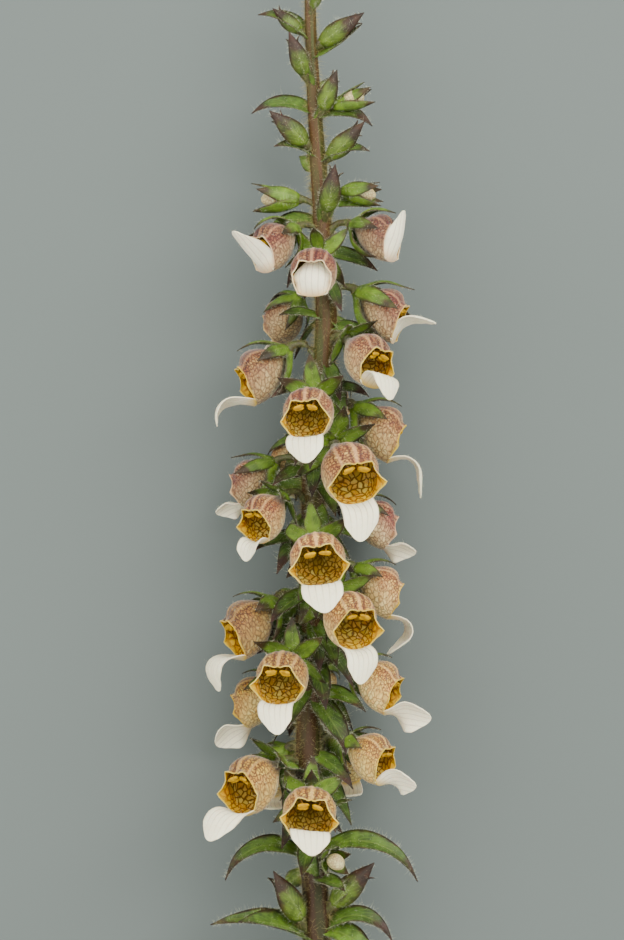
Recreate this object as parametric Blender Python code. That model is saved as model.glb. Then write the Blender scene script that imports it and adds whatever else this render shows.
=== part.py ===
"""A cut foxglove flower spike, laid down on a surface.

The spike is worked out in its own plant frame, in millimetres: the stem runs along +Y from its cut
end to its growing tip, and an azimuth of 0 faces +Z, up from the surface, with +90 to +X. Every
flower, bud and leaf is one row of the lists below. At the end the whole plant is moved so that the
middle of its underside lies at the origin, and written in metres.

Two kinds of solid come out of it. The leafy stem is the one green body that grew together: stem,
leaves, bracts, flower stalks and sepals. Each corolla is the petal bell that sits in a calyx and
drops from it whole, with its stamens on its inner wall.
"""

import math
from dataclasses import dataclass

import bmesh
import bpy
import numpy as np
from mathutils import Matrix, Vector

# ---------------------------------------------------------------- driving dimensions, in mm
MM = 0.001
GAP = 0.55  # between a corolla's root and the calyx's seat
PETAL = 0.62  # thickness of the petal wall
BLADE = 0.75  # thickness of a sepal or leaf along its midrib
AXIS_HEIGHT = 16.5  # stem axis above the surface at the flowers

# height above the cut end, how far the stem sways to +X there, its radius
STEM_LINE = (
    (0, 0.0, 3.1),
    (54, 0.0, 2.8),
    (91, -1.8, 2.5),
    (112, -0.7, 2.35),
    (150, -0.6, 2.3),
    (187, 2.3, 2.2),
    (210, 1.4, 1.95),
    (233, -0.2, 1.5),
    (253, -1.2, 1.25),
    (286, -1.4, 0.6),
)
STEM_SIDES = 8
STEM_STEP = 19.0

# along the tube: share of its length, outward, down, half width, half height, ring's tilt in degrees
BELL = (
    (0.00, 0.0, 0.2, 0.95, 0.85, 46),
    (0.12, 1.2, 1.0, 1.8, 1.55, 44),
    (0.30, 3.2, 2.3, 4.1, 3.5, 40),
    (0.52, 5.4, 4.1, 6.4, 5.3, 37),
    (0.76, 7.8, 6.3, 6.8, 5.6, 33),
    (1.00, 9.7, 8.6, 5.2, 4.6, 26),
)
TUBE_TILT = 38.0  # the tube's line below the horizontal in the table above
BELL_ROWS = (0.0, 0.3, 0.66)
# angle round the mouth from its top, how far the rim stands out there, how far it flares there
RIM = (
    (0, 0.3, 20),
    (30, 1.2, 30),
    (62, 0.6, 35),
    (96, 2.2, 60),
    (128, 0.2, 40),
    (154, 0.0, 0),
    (180, 0.0, 0),
)
LIP_ARC = 52.0  # half of the mouth that the lower lip grows from, in degrees
LIP_LENGTH = 12.5
LIP_HALF_WIDTH = 5.1
LIP_ROWS = (0.34, 0.68, 1.0)
STRAIGHT_LIP_ROWS = (0.45, 1.0)  # of a lip that hardly rolls
LIP_STEPS = 24

SEPAL_LENGTH = 10.5
SEPAL_HALF_WIDTH = 2.2
SEPALS = 5
SEPAL_STATIONS = (0.0, 0.38, 0.72)
PRESSED_STATIONS = (0.0, 0.5)  # of sepals that lean on the tube
BLADE_STATIONS = (0.0, 0.36, 0.72)
FACE_LEAN = 42.0  # how far bracts and leaves at the sides lean with their upper face to the front
# a shut calyx: share of its length, radius between the sepals, radius at their backs
SHUT_RINGS = ((0.32, 2.5, 2.9), (0.68, 1.7, 2.1))


@dataclass
class Unit:
    """A flower or bud with its stalk, calyx and bract. Angles are in degrees and lengths in mm."""

    height: float  # of the calyx above the stem's cut end
    azimuth: float
    size: float = 0.95
    nod: float = TUBE_TILT  # how far its tube points below the horizontal
    turn: float = 0.0  # how far it looks to the right of its own azimuth
    reach: float = 8.3  # from the stem's axis to the calyx
    lip: tuple = (5, 110)  # how far the lower lip rises at its root, and how far it then rolls down
    bract: tuple = (13.0, -38, -25)  # length, rise at its root, how far it then bends
    spread: float = 54  # how far the sepals stand away from the tube
    foot: bool = False  # it carries the spike on the surface


FLOWERS = (
    Unit(208.7, -60, 0.82, nod=20, turn=6, lip=(10, 30), reach=7.2, bract=(12, -20, -45)),
    Unit(208.9, 68, 0.82, nod=18, turn=-4, lip=(40, -12), reach=7.4, bract=(13, -8, -25)),
    Unit(202.0, -10, 0.84, nod=30, lip=(66, -10), reach=7.0, bract=(12, 60, -20)),
    Unit(194.4, 80, 0.92, nod=34, lip=(62, 85), reach=7.2),
    Unit(193.3, -122, 0.85, nod=46, lip=(-10, 40), reach=8.2),
    Unit(180.2, -80, 0.92, nod=36, turn=8, lip=(14, 105), reach=9.2),
    Unit(182.9, 44, 0.92, nod=34, lip=(14, 70), reach=7.4, bract=(14, -62, -8)),
    Unit(169.4, -8, 0.93, nod=24, lip=(-6, 72), reach=7.4),
    Unit(167.5, 88, 0.95, nod=38, lip=(22, 125), reach=8.2),
    Unit(155.9, -106, 0.86, nod=34, lip=(2, 30), reach=10.0, bract=(12, 10, -40)),
    Unit(156.9, 31, 1.0, nod=36, turn=-2, lip=(-12, 55), reach=8.2),
    Unit(148.6, -55, 0.92, nod=32, turn=6, lip=(0, 95), reach=8.0, bract=(15, -50, -10)),
    Unit(145.2, 104, 0.84, nod=36, lip=(2, 20), reach=10.2),
    Unit(134.6, 4, 1.0, nod=20, lip=(-6, 70), reach=7.4),
    Unit(130.0, 96, 0.88, nod=36, lip=(-30, 100), reach=10.0),
    Unit(122.2, -78, 0.96, nod=36, turn=10, lip=(-2, 150), reach=9.2),
    Unit(124.0, 34, 0.96, nod=32, lip=(-4, 85), reach=8.0),
    Unit(108.1, -31, 0.98, nod=28, turn=20, lip=(-10, 55), reach=8.0),
    Unit(108.1, 88, 0.9, nod=36, turn=-12, lip=(0, 45), reach=9.8),
    Unit(104.6, -116, 0.9, nod=40, turn=10, lip=(-25, 35), reach=9.0),
    Unit(90.0, 72, 0.96, nod=26, turn=-14, lip=(6, 40), reach=8.8, bract=(16, -48, -20)),
    Unit(85.1, -58, 1.04, nod=26, turn=10, lip=(-14, 65), reach=8.2, bract=(14, -70, 10)),
    Unit(77.2, 0, 0.94, nod=22, lip=(-8, 66), reach=7.4, bract=(16, 66, -15)),
    # behind the stem, between it and the surface
    Unit(174.5, 174, 0.82, nod=44, reach=5.7, lip=(-30, 150), spread=44),
    Unit(160.5, -152, 0.84, nod=44, reach=7.65, lip=(-30, 150), spread=44, foot=True),
    Unit(157.0, 141, 0.86, nod=44, reach=8.6, lip=(-30, 150), spread=44, foot=True),
    Unit(142.6, 179, 0.86, nod=44, reach=5.4, lip=(-30, 150), spread=44),
    Unit(125.6, 139, 0.88, nod=44, reach=7.4, lip=(-30, 150), spread=44),
    Unit(124.0, -146, 0.88, nod=44, reach=7.2, lip=(-30, 150), spread=44),
    Unit(108.5, 176, 0.86, nod=44, reach=5.4, lip=(-30, 150), spread=44),
    Unit(91.5, 137, 0.9, nod=44, reach=8.6, lip=(-30, 150), spread=44, foot=True),
    Unit(88.5, -140, 0.9, nod=44, reach=8.2, lip=(-30, 150), spread=44, foot=True),
)
# buds with the young corolla still closed in the calyx
BUDS = (
    Unit(215.5, -94, 0.80, nod=-4, reach=5.4, bract=(13, 34, -80), spread=44),
    Unit(217.0, 84, 0.72, nod=2, reach=5.4, bract=(9, -10, -30), spread=44),
    Unit(237.0, 80, 0.66, nod=-20, reach=5.0, bract=(14, 4, -60), spread=44),
    Unit(223.0, -170, 0.62, nod=-20, reach=4.4, bract=(9, 10, -30), spread=44),
    Unit(64.5, 30, 0.62, nod=10, reach=6.2, bract=(12, 0, -20), spread=44),
)
# buds whose calyx is still shut
SHUT_BUDS = (
    Unit(213.0, 24, 0.92, nod=-66, reach=3.2, bract=(12.5, 70, -12), spread=24),
    Unit(225.5, 66, 0.86, nod=-42, reach=3.4, bract=(13, 36, -60), spread=24),
    Unit(228.5, -64, 0.94, nod=-38, reach=3.2, bract=(16, 40, -70), spread=24),
    Unit(236.5, 32, 0.8, nod=-66, reach=2.8, bract=(9, 60, -5), spread=24),
    Unit(239.0, 158, 0.66, nod=-40, reach=2.8, bract=(10, 30, -30), spread=24),
    Unit(244.5, -44, 0.86, nod=-60, reach=2.6, bract=(11.5, 60, 5), spread=24),
    Unit(251.5, 76, 0.86, nod=-34, reach=2.8, bract=(13.5, 24, 15), spread=24),
    Unit(254.5, -92, 0.66, nod=-40, reach=2.8, bract=(15, 36, -70), spread=24),
    Unit(50.5, -58, 1.1, nod=-58, reach=4.6, bract=(20, 34, -40), spread=26),
    Unit(54.0, 64, 1.15, nod=-44, reach=4.8, bract=(17, 6, -85), spread=22),
    Unit(60.0, -150, 0.8, nod=20, reach=5.4, bract=(15, -20, -10), spread=26),
)
# leaves with no flower: height of the root, azimuth, length, half width, rise at the root, bend
LEAVES = (
    (101, 34, 15, 2.9, -45, -20),
    (61, -76, 24, 2.7, 50, -125),
    (63, 80, 27, 2.8, 36, -105),
    (58, -20, 14, 2.0, 76, -14),
    (47, -84, 23, 2.7, 22, -40),
    (45, 74, 20, 2.7, 54, -125),
    (36, 130, 24, 2.5, 14, -24),
    (31, -128, 26, 2.6, 16, -24),
    (24, 20, 26, 2.7, 50, -40),
    (15, -40, 28, 2.9, 44, -44),
)
# the growing tip: small shut buds in a spiral, closer and smaller upwards
TIP_START, TIP_END, TIP_BUDS = 260.0, 284.5, 8
GOLDEN_TURN = 137.5


# ---------------------------------------------------------------- small tools
def smooth_between(rows, at):
    """The columns of rows, read smoothly at a value of the first column."""
    table = np.array(rows, float)
    keys = table[:, 0]
    i = int(np.clip(np.searchsorted(keys, at) - 1, 0, len(keys) - 2))
    span = keys[i + 1] - keys[i]
    s = min(max((at - keys[i]) / span, 0.0), 1.0)
    slopes = np.gradient(table[:, 1:], keys, axis=0)
    a, b = table[i, 1:], table[i + 1, 1:]
    return (
        (2 * s**3 - 3 * s**2 + 1) * a
        + (s**3 - 2 * s**2 + s) * span * slopes[i]
        + (3 * s**2 - 2 * s**3) * b
        + (s**3 - s**2) * span * slopes[i + 1]
    )


def ease(s):
    """0 to 1, flat at both ends."""
    s = min(max(s, 0.0), 1.0)
    return s * s * (3 - 2 * s)


def stem_point(height):
    """The stem's axis at a height."""
    sway, _ = smooth_between(STEM_LINE, height)
    return Vector((sway, height, 0.0))


def stem_radius(height):
    return smooth_between(STEM_LINE, height)[1]


def outward(azimuth):
    turn = math.radians(azimuth)
    return Vector((math.sin(turn), 0.0, math.cos(turn)))


def heading(azimuth, rise):
    """The direction that leaves the stem at an azimuth and rises by an angle."""
    up = math.radians(rise)
    return outward(azimuth) * math.cos(up) + Vector((0, 1, 0)) * math.sin(up)


def new_object(name, points, faces, colour, roughness):
    """A mesh object in metres with its faces turned outwards, and its own plain material."""
    mesh = bpy.data.meshes.new(name)
    mesh.from_pydata([Vector(p) * MM for p in points], [], faces)
    turned = bmesh.new()
    turned.from_mesh(mesh)
    bmesh.ops.recalc_face_normals(turned, faces=turned.faces)
    turned.to_mesh(mesh)
    turned.free()
    mesh.update()
    obj = bpy.data.objects.new(name, mesh)
    bpy.context.scene.collection.objects.link(obj)
    mesh.materials.append(plain_material(name.rstrip("_0123456789"), colour, roughness))
    return obj


def plain_material(name, colour, roughness):
    material = bpy.data.materials.get(name)
    if material is None:
        material = bpy.data.materials.new(name)
        material.use_nodes = True
        shader = material.node_tree.nodes["Principled BSDF"]
        shader.inputs["Base Color"].default_value = (*colour, 1)
        shader.inputs["Roughness"].default_value = roughness
        shader.inputs["Metallic"].default_value = 0.0
    return material


def apply_modifiers(obj):
    """Replaces the object's mesh by the one that its modifiers make."""
    graph = bpy.context.evaluated_depsgraph_get()
    made = bpy.data.meshes.new_from_object(obj.evaluated_get(graph))
    obj.modifiers.clear()
    obj.data = made


# ---------------------------------------------------------------- where a flower stands
def unit_frame(unit):
    """Places a flower's own frame, with X across it, Y up the stem and Z outward, at its calyx."""
    base = stem_point(unit.height) + outward(unit.azimuth) * unit.reach
    return (
        Matrix.Translation(base)
        @ Matrix.Rotation(math.radians(unit.azimuth + unit.turn), 4, "Y")
        @ Matrix.Rotation(math.radians(unit.nod - TUBE_TILT), 4, "X")
    )


def bell_ring(share):
    """Centre, half sizes and directions of the bell's ring at a share of the tube."""
    out, down, half_width, half_height, tilt = smooth_between(BELL, share)
    tilt = math.radians(tilt)
    forward = Vector((0, -math.sin(tilt), math.cos(tilt)))
    top = Vector((0, math.cos(tilt), math.sin(tilt)))
    return Vector((0, -down, out)), half_width, half_height, forward, top


def bell_point(angle, share):
    """A point of the bell's outer face, in the flower's own frame. Angle 0 is its top."""
    centre, half_width, half_height, _, top = bell_ring(share)
    turn = math.radians(angle)
    return centre + Vector((half_width * math.sin(turn), 0, 0)) + top * (half_height * math.cos(turn))


def rim_point(angle):
    """The bell's edge, with its two small upper lobes and its two pointed side lobes."""
    around = abs((angle + 180) % 360 - 180)
    out, flare = smooth_between(RIM, around)
    _, _, _, forward, top = bell_ring(1.0)
    turn = math.radians(angle)
    away = Vector((math.sin(turn), 0, 0)) + top * math.cos(turn)
    flare = math.radians(flare)
    return bell_point(angle, 1.0) + (forward * math.cos(flare) + away * math.sin(flare)) * out


def lip_line(lip):
    """The lower lip's middle line and its upper direction, from the mouth to the lip's end."""
    rise, roll = map(math.radians, lip)
    place = bell_point(180, 1.0)
    line = []
    for step in range(LIP_STEPS + 1):
        share = step / LIP_STEPS
        angle = rise - roll * ease((share - 0.12) / 0.8)
        ahead = Vector((0, math.sin(angle), math.cos(angle)))
        line.append((place, Vector((0, math.cos(angle), -math.sin(angle)))))
        place = place + ahead * (LIP_LENGTH / LIP_STEPS)
    return line


def lip_point(line, across, share):
    """A point of the lower lip: across from -1 to 1, share from the mouth to the outline."""
    along = share * (1 - 0.36 * abs(across) ** 1.9)
    place, upper = line[round(along * LIP_STEPS)]
    half = LIP_HALF_WIDTH * (1 - 0.42 * along**1.4)
    lift = (1.7 * (1 - ease(along / 0.45)) - 0.5 * ease((along - 0.3) / 0.6)) * across**2
    free = place + Vector((half * across, 0, 0)) + upper * lift
    return rim_point(180 - LIP_ARC * across).lerp(free, ease(along / 0.34))


# ---------------------------------------------------------------- what blades are bent clear of
def bell_bodies(units):
    """Each open bell as an ellipsoid and its lip as two balls: (matrix from a unit ball, inverse)."""
    bodies = []
    for unit in units:
        frame = unit_frame(unit) @ Matrix.Scale(unit.size, 4)
        centre, half_width, half_height, _, _ = bell_ring(0.62)
        sides = Vector((half_width + 1.2, half_height + 1.3, 7.5))
        body = (
            Matrix.Translation(centre)
            @ Matrix.Rotation(math.radians(TUBE_TILT - 2), 4, "X")
            @ Matrix.Diagonal((*sides, 1))
        )
        balls = [frame @ body]
        line = lip_line(unit.lip)
        for share in (0.3, 0.75):
            place = line[round(share * LIP_STEPS)][0]
            balls.append(frame @ Matrix.Translation(place) @ Matrix.Scale(3.6, 4))
        bodies += [(ball, ball.inverted()) for ball in balls]
    return bodies


def bent_clear(path, bodies):
    """Moves a blade's stations out of the bells and lips round it, and up from the surface."""
    clear = path[:1]
    for point in path[1:]:
        for _ in range(3):
            for ball, inverse in bodies:
                local = inverse @ point
                if local.length < 1:
                    point = ball @ (local / max(local.length, 1e-6))
        point.z = max(point.z, 1.1 - AXIS_HEIGHT)
        clear.append(point)
    return clear


# ---------------------------------------------------------------- blades: bracts and leaves
def arc_path(root, start, away, length, bend, shares):
    """Stations of a blade that leaves root along start and bends towards away."""
    normal = (away - start * away.dot(start)).normalized()
    path, place = [root.copy()], root.copy()
    steps = 24
    marks = [round(s * steps) for s in shares[1:]] + [steps]
    for step in range(1, steps + 1):
        angle = math.radians(bend) * (step - 0.5) / steps
        place = place + (start * math.cos(angle) + normal * math.sin(angle)) * (length / steps)
        if step in marks:
            path.append(place.copy())
    return path


def blade_width(share):
    """A lance's outline: narrow root, widest at a third, a sharp tip."""
    return math.sin(math.pi * (0.12 + 0.88 * share) ** 0.8)


def blade_section(path, i, side, half):
    """Left edge, keel and right edge of a blade at one of its stations."""
    tangent = (path[i + 1] - path[max(i - 1, 0)]).normalized()
    normal = side.cross(tangent).normalized()
    across = tangent.cross(normal).normalized()
    edge = path[i] + normal * (BLADE / 2)
    return edge - across * half, path[i] - normal * (BLADE / 2), edge + across * half


def blade_mesh(path, side, half_width):
    """A closed keeled blade along a path, with a sharp end."""
    points, faces = [], []
    for i in range(len(path) - 1):
        points += blade_section(path, i, side, half_width * blade_width(BLADE_STATIONS[i]))
        if i:
            faces += bridge([3 * i - 3, 3 * i - 2, 3 * i - 1], [3 * i, 3 * i + 1, 3 * i + 2])
    last = len(points) - 3
    points.append(path[-1])
    faces += [(last + k, last + (k + 1) % 3, len(points) - 1) for k in range(3)]
    faces.append((0, 2, 1))
    return points, faces


def bridge(ring, after):
    """Triangles between two sections of a blade, cut alike on both sides of its keel."""
    a, b, c = ring
    d, e, f = after
    return [(a, b, e), (a, e, d), (b, c, e), (c, f, e), (c, a, f), (a, d, f)]


def bract_root(unit):
    """Where the bract and the stalk leave the stem: under a nodding flower, beside a shut bud."""
    below = 6.5 * unit.size * math.cos(math.radians(unit.nod)) if unit.reach > 4 else 2.2
    return unit.height - below


def from_stem(height, azimuth, length, rise, bend, bodies):
    """A blade's path out of the stem, and the direction across it."""
    root = stem_point(height) + outward(azimuth) * (stem_radius(height) - 0.9)
    path = arc_path(root, heading(azimuth, rise), Vector((0, 1, 0)), length, bend, BLADE_STATIONS)
    across = Matrix.Rotation(math.radians(azimuth), 3, "Y") @ Vector((-1, 0, 0))
    lean = math.radians(FACE_LEAN) * math.sin(math.radians(azimuth))
    return bent_clear(path, bodies), Matrix.Rotation(lean, 3, outward(azimuth)) @ across


# ---------------------------------------------------------------- stem, flower stalks, calyces
def tube_rings(rings, sides):
    """Points round (centre, radius, direction, direction across it) rings, and the quads between."""
    points, faces = [], []
    for centre, radius, ahead, up in rings:
        across = up.cross(ahead).normalized()
        for k in range(sides):
            turn = 2 * math.pi * (k - 0.5) / sides
            points.append(centre + (up * math.cos(turn) + across * math.sin(turn)) * radius)
    for i in range(len(rings) - 1):
        for k in range(sides):
            a, b = i * sides + k, i * sides + (k + 1) % sides
            faces.append((a, b, b + sides, a + sides))
    faces.append(tuple(reversed(range(sides))))
    return points, faces


def stem_mesh():
    top = STEM_LINE[-1][0]
    count = round(top / STEM_STEP)
    heights = [top * i / count for i in range(count + 1)]
    rings = [(stem_point(h), stem_radius(h), Vector((0, 1, 0)), Vector((0, 0, 1))) for h in heights]
    points, faces = tube_rings(rings, STEM_SIDES)
    faces.append(tuple(range(len(points) - STEM_SIDES, len(points))))
    return points, faces


def calyx_axes(unit):
    """Seat of the corolla, the calyx's direction, its top and the direction across it."""
    frame = unit_frame(unit)
    turn = frame.to_3x3()
    tilt = math.radians(TUBE_TILT)
    ahead = turn @ Vector((0, -math.sin(tilt), math.cos(tilt)))
    top = turn @ Vector((0, math.cos(tilt), math.sin(tilt)))
    across = turn @ Vector((1, 0, 0))
    seat = frame @ (Vector((0, -0.2, 0)) * unit.size) - ahead * GAP
    return seat, ahead, top, across


def stalk_mesh(unit):
    """The flower stalk, from inside the stem to the ring that the sepals grow from."""
    seat, ahead, top, _ = calyx_axes(unit)
    root = stem_point(bract_root(unit))
    neck = seat - ahead * (1.7 * unit.size)
    before = neck - ahead * (0.45 * (neck - root).length)
    middle = root * 0.25 + before * 0.5 + neck * 0.25
    rings = []
    for centre, radius, along in (
        (neck, 1.0 * unit.size, ahead + (neck - middle).normalized()),
        (middle, 0.8, neck - root),
        (root, 0.85, middle - root),
    ):
        along = along.normalized()
        top = (top - along * top.dot(along)).normalized()
        rings.insert(0, (centre, radius, along, top))
    return tube_rings(rings, SEPALS)


def open_calyx_mesh(unit, bodies):
    """Stalk, flat receptacle and five spreading sepals, as one closed skin."""
    seat, ahead, top, across = calyx_axes(unit)
    points, faces = stalk_mesh(unit)
    radius = 1.3 * unit.size
    ring = len(points)
    for k in range(SEPALS):
        for half_step in (-0.5, 0.0):
            turn = 2 * math.pi * (k + half_step) / SEPALS
            away = top * math.cos(turn) + across * math.sin(turn)
            points.append(seat + away * radius - ahead * (0.0 if half_step else 0.35))
    inner = len(points)
    for k in range(SEPALS):
        turn = 2 * math.pi * k / SEPALS
        points.append(seat + (top * math.cos(turn) + across * math.sin(turn)) * (radius * 0.6))
    for k in range(SEPALS):
        after = (k + 1) % SEPALS
        low, low_after = ring - SEPALS + k, ring - SEPALS + after
        corner, back, corner_after = ring + 2 * k, ring + 2 * k + 1, ring + 2 * after
        face = inner + k
        faces += [(low, back, corner), (low, low_after, back), (low_after, corner_after, back)]
        faces += add_sepal(points, unit, k, (corner, back, corner_after, face), bodies)
    around = []
    for k in range(SEPALS):
        around += [ring + 2 * k, inner + k]
    faces.append(tuple(around))
    return points, faces


def add_sepal(points, unit, k, root_ids, bodies):
    """Adds a sepal's points and returns its faces, from its four points on the calyx's ring."""
    stations = SEPAL_STATIONS if unit.spread > 50 else PRESSED_STATIONS
    seat, ahead, top, across = calyx_axes(unit)
    turn = 2 * math.pi * k / SEPALS
    away = top * math.cos(turn) + across * math.sin(turn)
    side = across * math.cos(turn) - top * math.sin(turn)
    spread = math.radians(unit.spread)
    start = ahead * math.cos(spread) + away * math.sin(spread)
    root = seat + away * (1.15 * unit.size)
    bend = -0.6 * unit.spread
    path = bent_clear(arc_path(root, start, away, SEPAL_LENGTH * unit.size, bend, stations), bodies)
    faces = []
    left, keel, right, face = root_ids
    for i in range(1, len(path) - 1):
        half = SEPAL_HALF_WIDTH * unit.size * blade_width(stations[i])
        section = blade_section(path, i, side, half)
        new = tuple(range(len(points), len(points) + 3))
        points += section
        if i == 1:
            faces += [(left, keel, new[1]), (left, new[1], new[0]), (keel, right, new[1])]
            faces += [(right, new[2], new[1]), (right, face, new[2])]
            faces += [(face, new[0], new[2]), (face, left, new[0])]
        else:
            faces += bridge(ids, new)
        ids = new
    points.append(path[-1])
    faces += [(ids[j], ids[(j + 1) % 3], len(points) - 1) for j in range(3)]
    return faces


def shut_calyx_mesh(unit):
    """Stalk and a shut calyx: a ridged egg that ends in five small points."""
    seat, ahead, top, across = calyx_axes(unit)
    points, faces = stalk_mesh(unit)
    low = [len(points) - SEPALS + k for k in range(SEPALS)]

    def spot(step, along, radius):
        turn = 2 * math.pi * step / SEPALS
        points.append(seat + ahead * along + (top * math.cos(turn) + across * math.sin(turn)) * radius)
        return len(points) - 1

    length = SEPAL_LENGTH * unit.size
    corners, backs = low, None
    for share, valley, ridge in SHUT_RINGS:
        new_corners = [spot(k - 0.5, length * share, valley * unit.size) for k in range(SEPALS)]
        new_backs = [spot(k, length * share, ridge * unit.size) for k in range(SEPALS)]
        for k in range(SEPALS):
            after = (k + 1) % SEPALS
            if backs is None:
                faces += [(corners[k], corners[after], new_backs[k])]
                faces += [(corners[k], new_backs[k], new_corners[k])]
                faces += [(corners[after], new_corners[after], new_backs[k])]
            else:
                faces += [(corners[k], backs[k], new_backs[k], new_corners[k])]
                faces += [(backs[k], corners[after], new_corners[after], new_backs[k])]
        corners, backs = new_corners, new_backs
    middle = spot(0, length * 0.72, 0.0)
    for k in range(SEPALS):
        after = (k + 1) % SEPALS
        point = spot(k, length, 1.2 * unit.size)
        faces += [(corners[k], backs[k], point), (backs[k], corners[after], point)]
        faces += [(point, middle, corners[k]), (point, corners[after], middle)]
    return points, faces


# ---------------------------------------------------------------- the corollas
def corolla_mesh(unit):
    """The one-layer skin of an open corolla: a cup, its lobed edge and its lower lip."""
    angles = [a for a, _, _ in RIM] + [-a for a, _, _ in reversed(RIM[1:-1])]
    rows = [[bell_point(a, share) for a in angles] for share in BELL_ROWS]
    rows.append([rim_point(a) for a in angles])
    count = len(angles)
    points = [p for row in rows for p in row]
    faces = [tuple(range(count))]
    for i in range(len(rows) - 1):
        for k in range(count):
            a, b = i * count + k, i * count + (k + 1) % count
            faces.append((a, a + count, b + count, b))
    lip_columns = [k for k, a in enumerate(angles) if abs(a) >= 180 - LIP_ARC]
    previous = [3 * count + k for k in lip_columns]
    line = lip_line(unit.lip)
    for share in LIP_ROWS if unit.lip[1] > 30 else STRAIGHT_LIP_ROWS:
        row = []
        for k in lip_columns:
            across = ((180 - angles[k] + 180) % 360 - 180) / LIP_ARC
            row.append(len(points))
            points.append(lip_point(line, across, share))
        for k in range(len(row) - 1):
            faces.append((previous[k], row[k], row[k + 1], previous[k + 1]))
        previous = row
    return points, faces


def add_corolla(name, unit):
    points, faces = corolla_mesh(unit)
    place = unit_frame(unit) @ Matrix.Scale(unit.size, 4)
    obj = new_object(name, [place @ p for p in points], faces, (0.80, 0.62, 0.46), 0.55)
    wall = obj.modifiers.new("wall", "SOLIDIFY")
    wall.thickness = (PETAL + (0.25 if unit.foot else 0.0)) * MM
    wall.offset = -1
    apply_modifiers(obj)
    if unit.foot:
        press_flat(obj)
    return obj


def add_bud_corolla(name, unit):
    """A young corolla, still shut: a small solid club that shows between its sepals."""
    place = unit_frame(unit) @ Matrix.Scale(unit.size, 4)
    rows = []
    for share, narrow in ((0.0, 1.0), (0.3, 0.72), (0.6, 0.62), (0.85, 0.42)):
        centre, half_width, half_height, _, top = bell_ring(share)
        ring = []
        for k in range(8):
            turn = 2 * math.pi * k / 8
            offset = Vector((half_width * math.sin(turn), 0, 0)) + top * (half_height * math.cos(turn))
            ring.append(place @ (centre + offset * narrow))
        rows.append(ring)
    points = [p for row in rows for p in row]
    faces = [tuple(range(8)), tuple(reversed(range(24, 32)))]
    for i in range(3):
        for k in range(8):
            a, b = i * 8 + k, i * 8 + (k + 1) % 8
            faces.append((a, a + 8, b + 8, b))
    return new_object(name, points, faces, (0.82, 0.68, 0.55), 0.55)


# ---------------------------------------------------------------- joining and resting
def join_all(obj, helpers):
    """One Boolean union of the helpers into obj, which are then removed."""
    group = bpy.data.collections.new("repeats")
    bpy.context.scene.collection.children.link(group)
    for helper in helpers:
        bpy.context.scene.collection.objects.unlink(helper)
        group.objects.link(helper)
    union = obj.modifiers.new("union", "BOOLEAN")
    union.operation = "UNION"
    union.operand_type = "COLLECTION"
    union.collection = group
    union.solver = "EXACT"
    apply_modifiers(obj)
    for helper in helpers:
        bpy.data.objects.remove(helper)
    bpy.data.collections.remove(group)


def press_flat(obj):
    """Takes off what would reach below the surface, which leaves a small flat spot to stand on."""
    side = 200.0
    bpy.ops.mesh.primitive_cube_add(size=side * MM)
    ground = bpy.context.active_object
    ground.location = Vector((0, 130, -AXIS_HEIGHT - side / 2)) * MM
    cut = obj.modifiers.new("ground", "BOOLEAN")
    cut.operation = "DIFFERENCE"
    cut.object = ground
    cut.solver = "EXACT"
    bpy.context.view_layer.update()
    apply_modifiers(obj)
    bpy.data.objects.remove(ground)


def tip_units():
    """The growing tip's buds, each smaller and closer to the last, in a spiral."""
    units = []
    for i in range(TIP_BUDS):
        share = i / (TIP_BUDS - 1)
        height = TIP_START + (TIP_END - TIP_START) * share**0.85
        size = 0.52 - 0.34 * share
        units.append(
            Unit(
                height,
                20 + GOLDEN_TURN * i,
                size,
                nod=-45 - 35 * share,
                reach=2.6 - 1.4 * share,
            )
        )
    return units


def add_leafy_stem(bodies):
    points, faces = stem_mesh()
    stem = new_object("leafy_stem", points, faces, (0.22, 0.26, 0.10), 0.6)
    helpers = []

    def add(points, faces):
        helpers.append(new_object("repeat", points, faces, (0.2, 0.3, 0.08), 0.6))

    for unit in (*FLOWERS, *BUDS):
        add(*open_calyx_mesh(unit, bodies))
    for unit in (*SHUT_BUDS, *tip_units()):
        add(*shut_calyx_mesh(unit))
    for unit in (*FLOWERS, *BUDS, *SHUT_BUDS):
        length, rise, bend = unit.bract
        path, side = from_stem(bract_root(unit) - 1.0, unit.azimuth, length, rise, bend, bodies)
        add(*blade_mesh(path, side, 0.16 * length))
    for height, azimuth, length, half_width, rise, bend in LEAVES:
        path, side = from_stem(height, azimuth, length, rise, bend, bodies)
        add(*blade_mesh(path, side, half_width))
    join_all(stem, helpers)
    return stem


def rest_on_origin(objects):
    """Moves every mesh so that the middle of the plant's underside is the origin."""
    corners = np.array([v.co for o in objects for v in o.data.vertices])
    middle = (corners.min(0) + corners.max(0)) / 2
    move = Matrix.Translation((-middle[0], -middle[1], AXIS_HEIGHT * MM))
    for obj in objects:
        obj.data.transform(move)


def main():
    for obj in list(bpy.data.objects):
        bpy.data.objects.remove(obj)
    bodies = bell_bodies(FLOWERS)
    objects = [add_leafy_stem(bodies)]
    for i, unit in enumerate(FLOWERS, 1):
        objects.append(add_corolla(f"corolla_{i:02d}", unit))
    for i, unit in enumerate(BUDS, 1):
        objects.append(add_bud_corolla(f"bud_corolla_{i:02d}", unit))
    rest_on_origin(objects)
    for obj in objects:
        obj.data.shade_smooth()
        obj.data.set_sharp_from_angle(angle=math.radians(40))


main()
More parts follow.
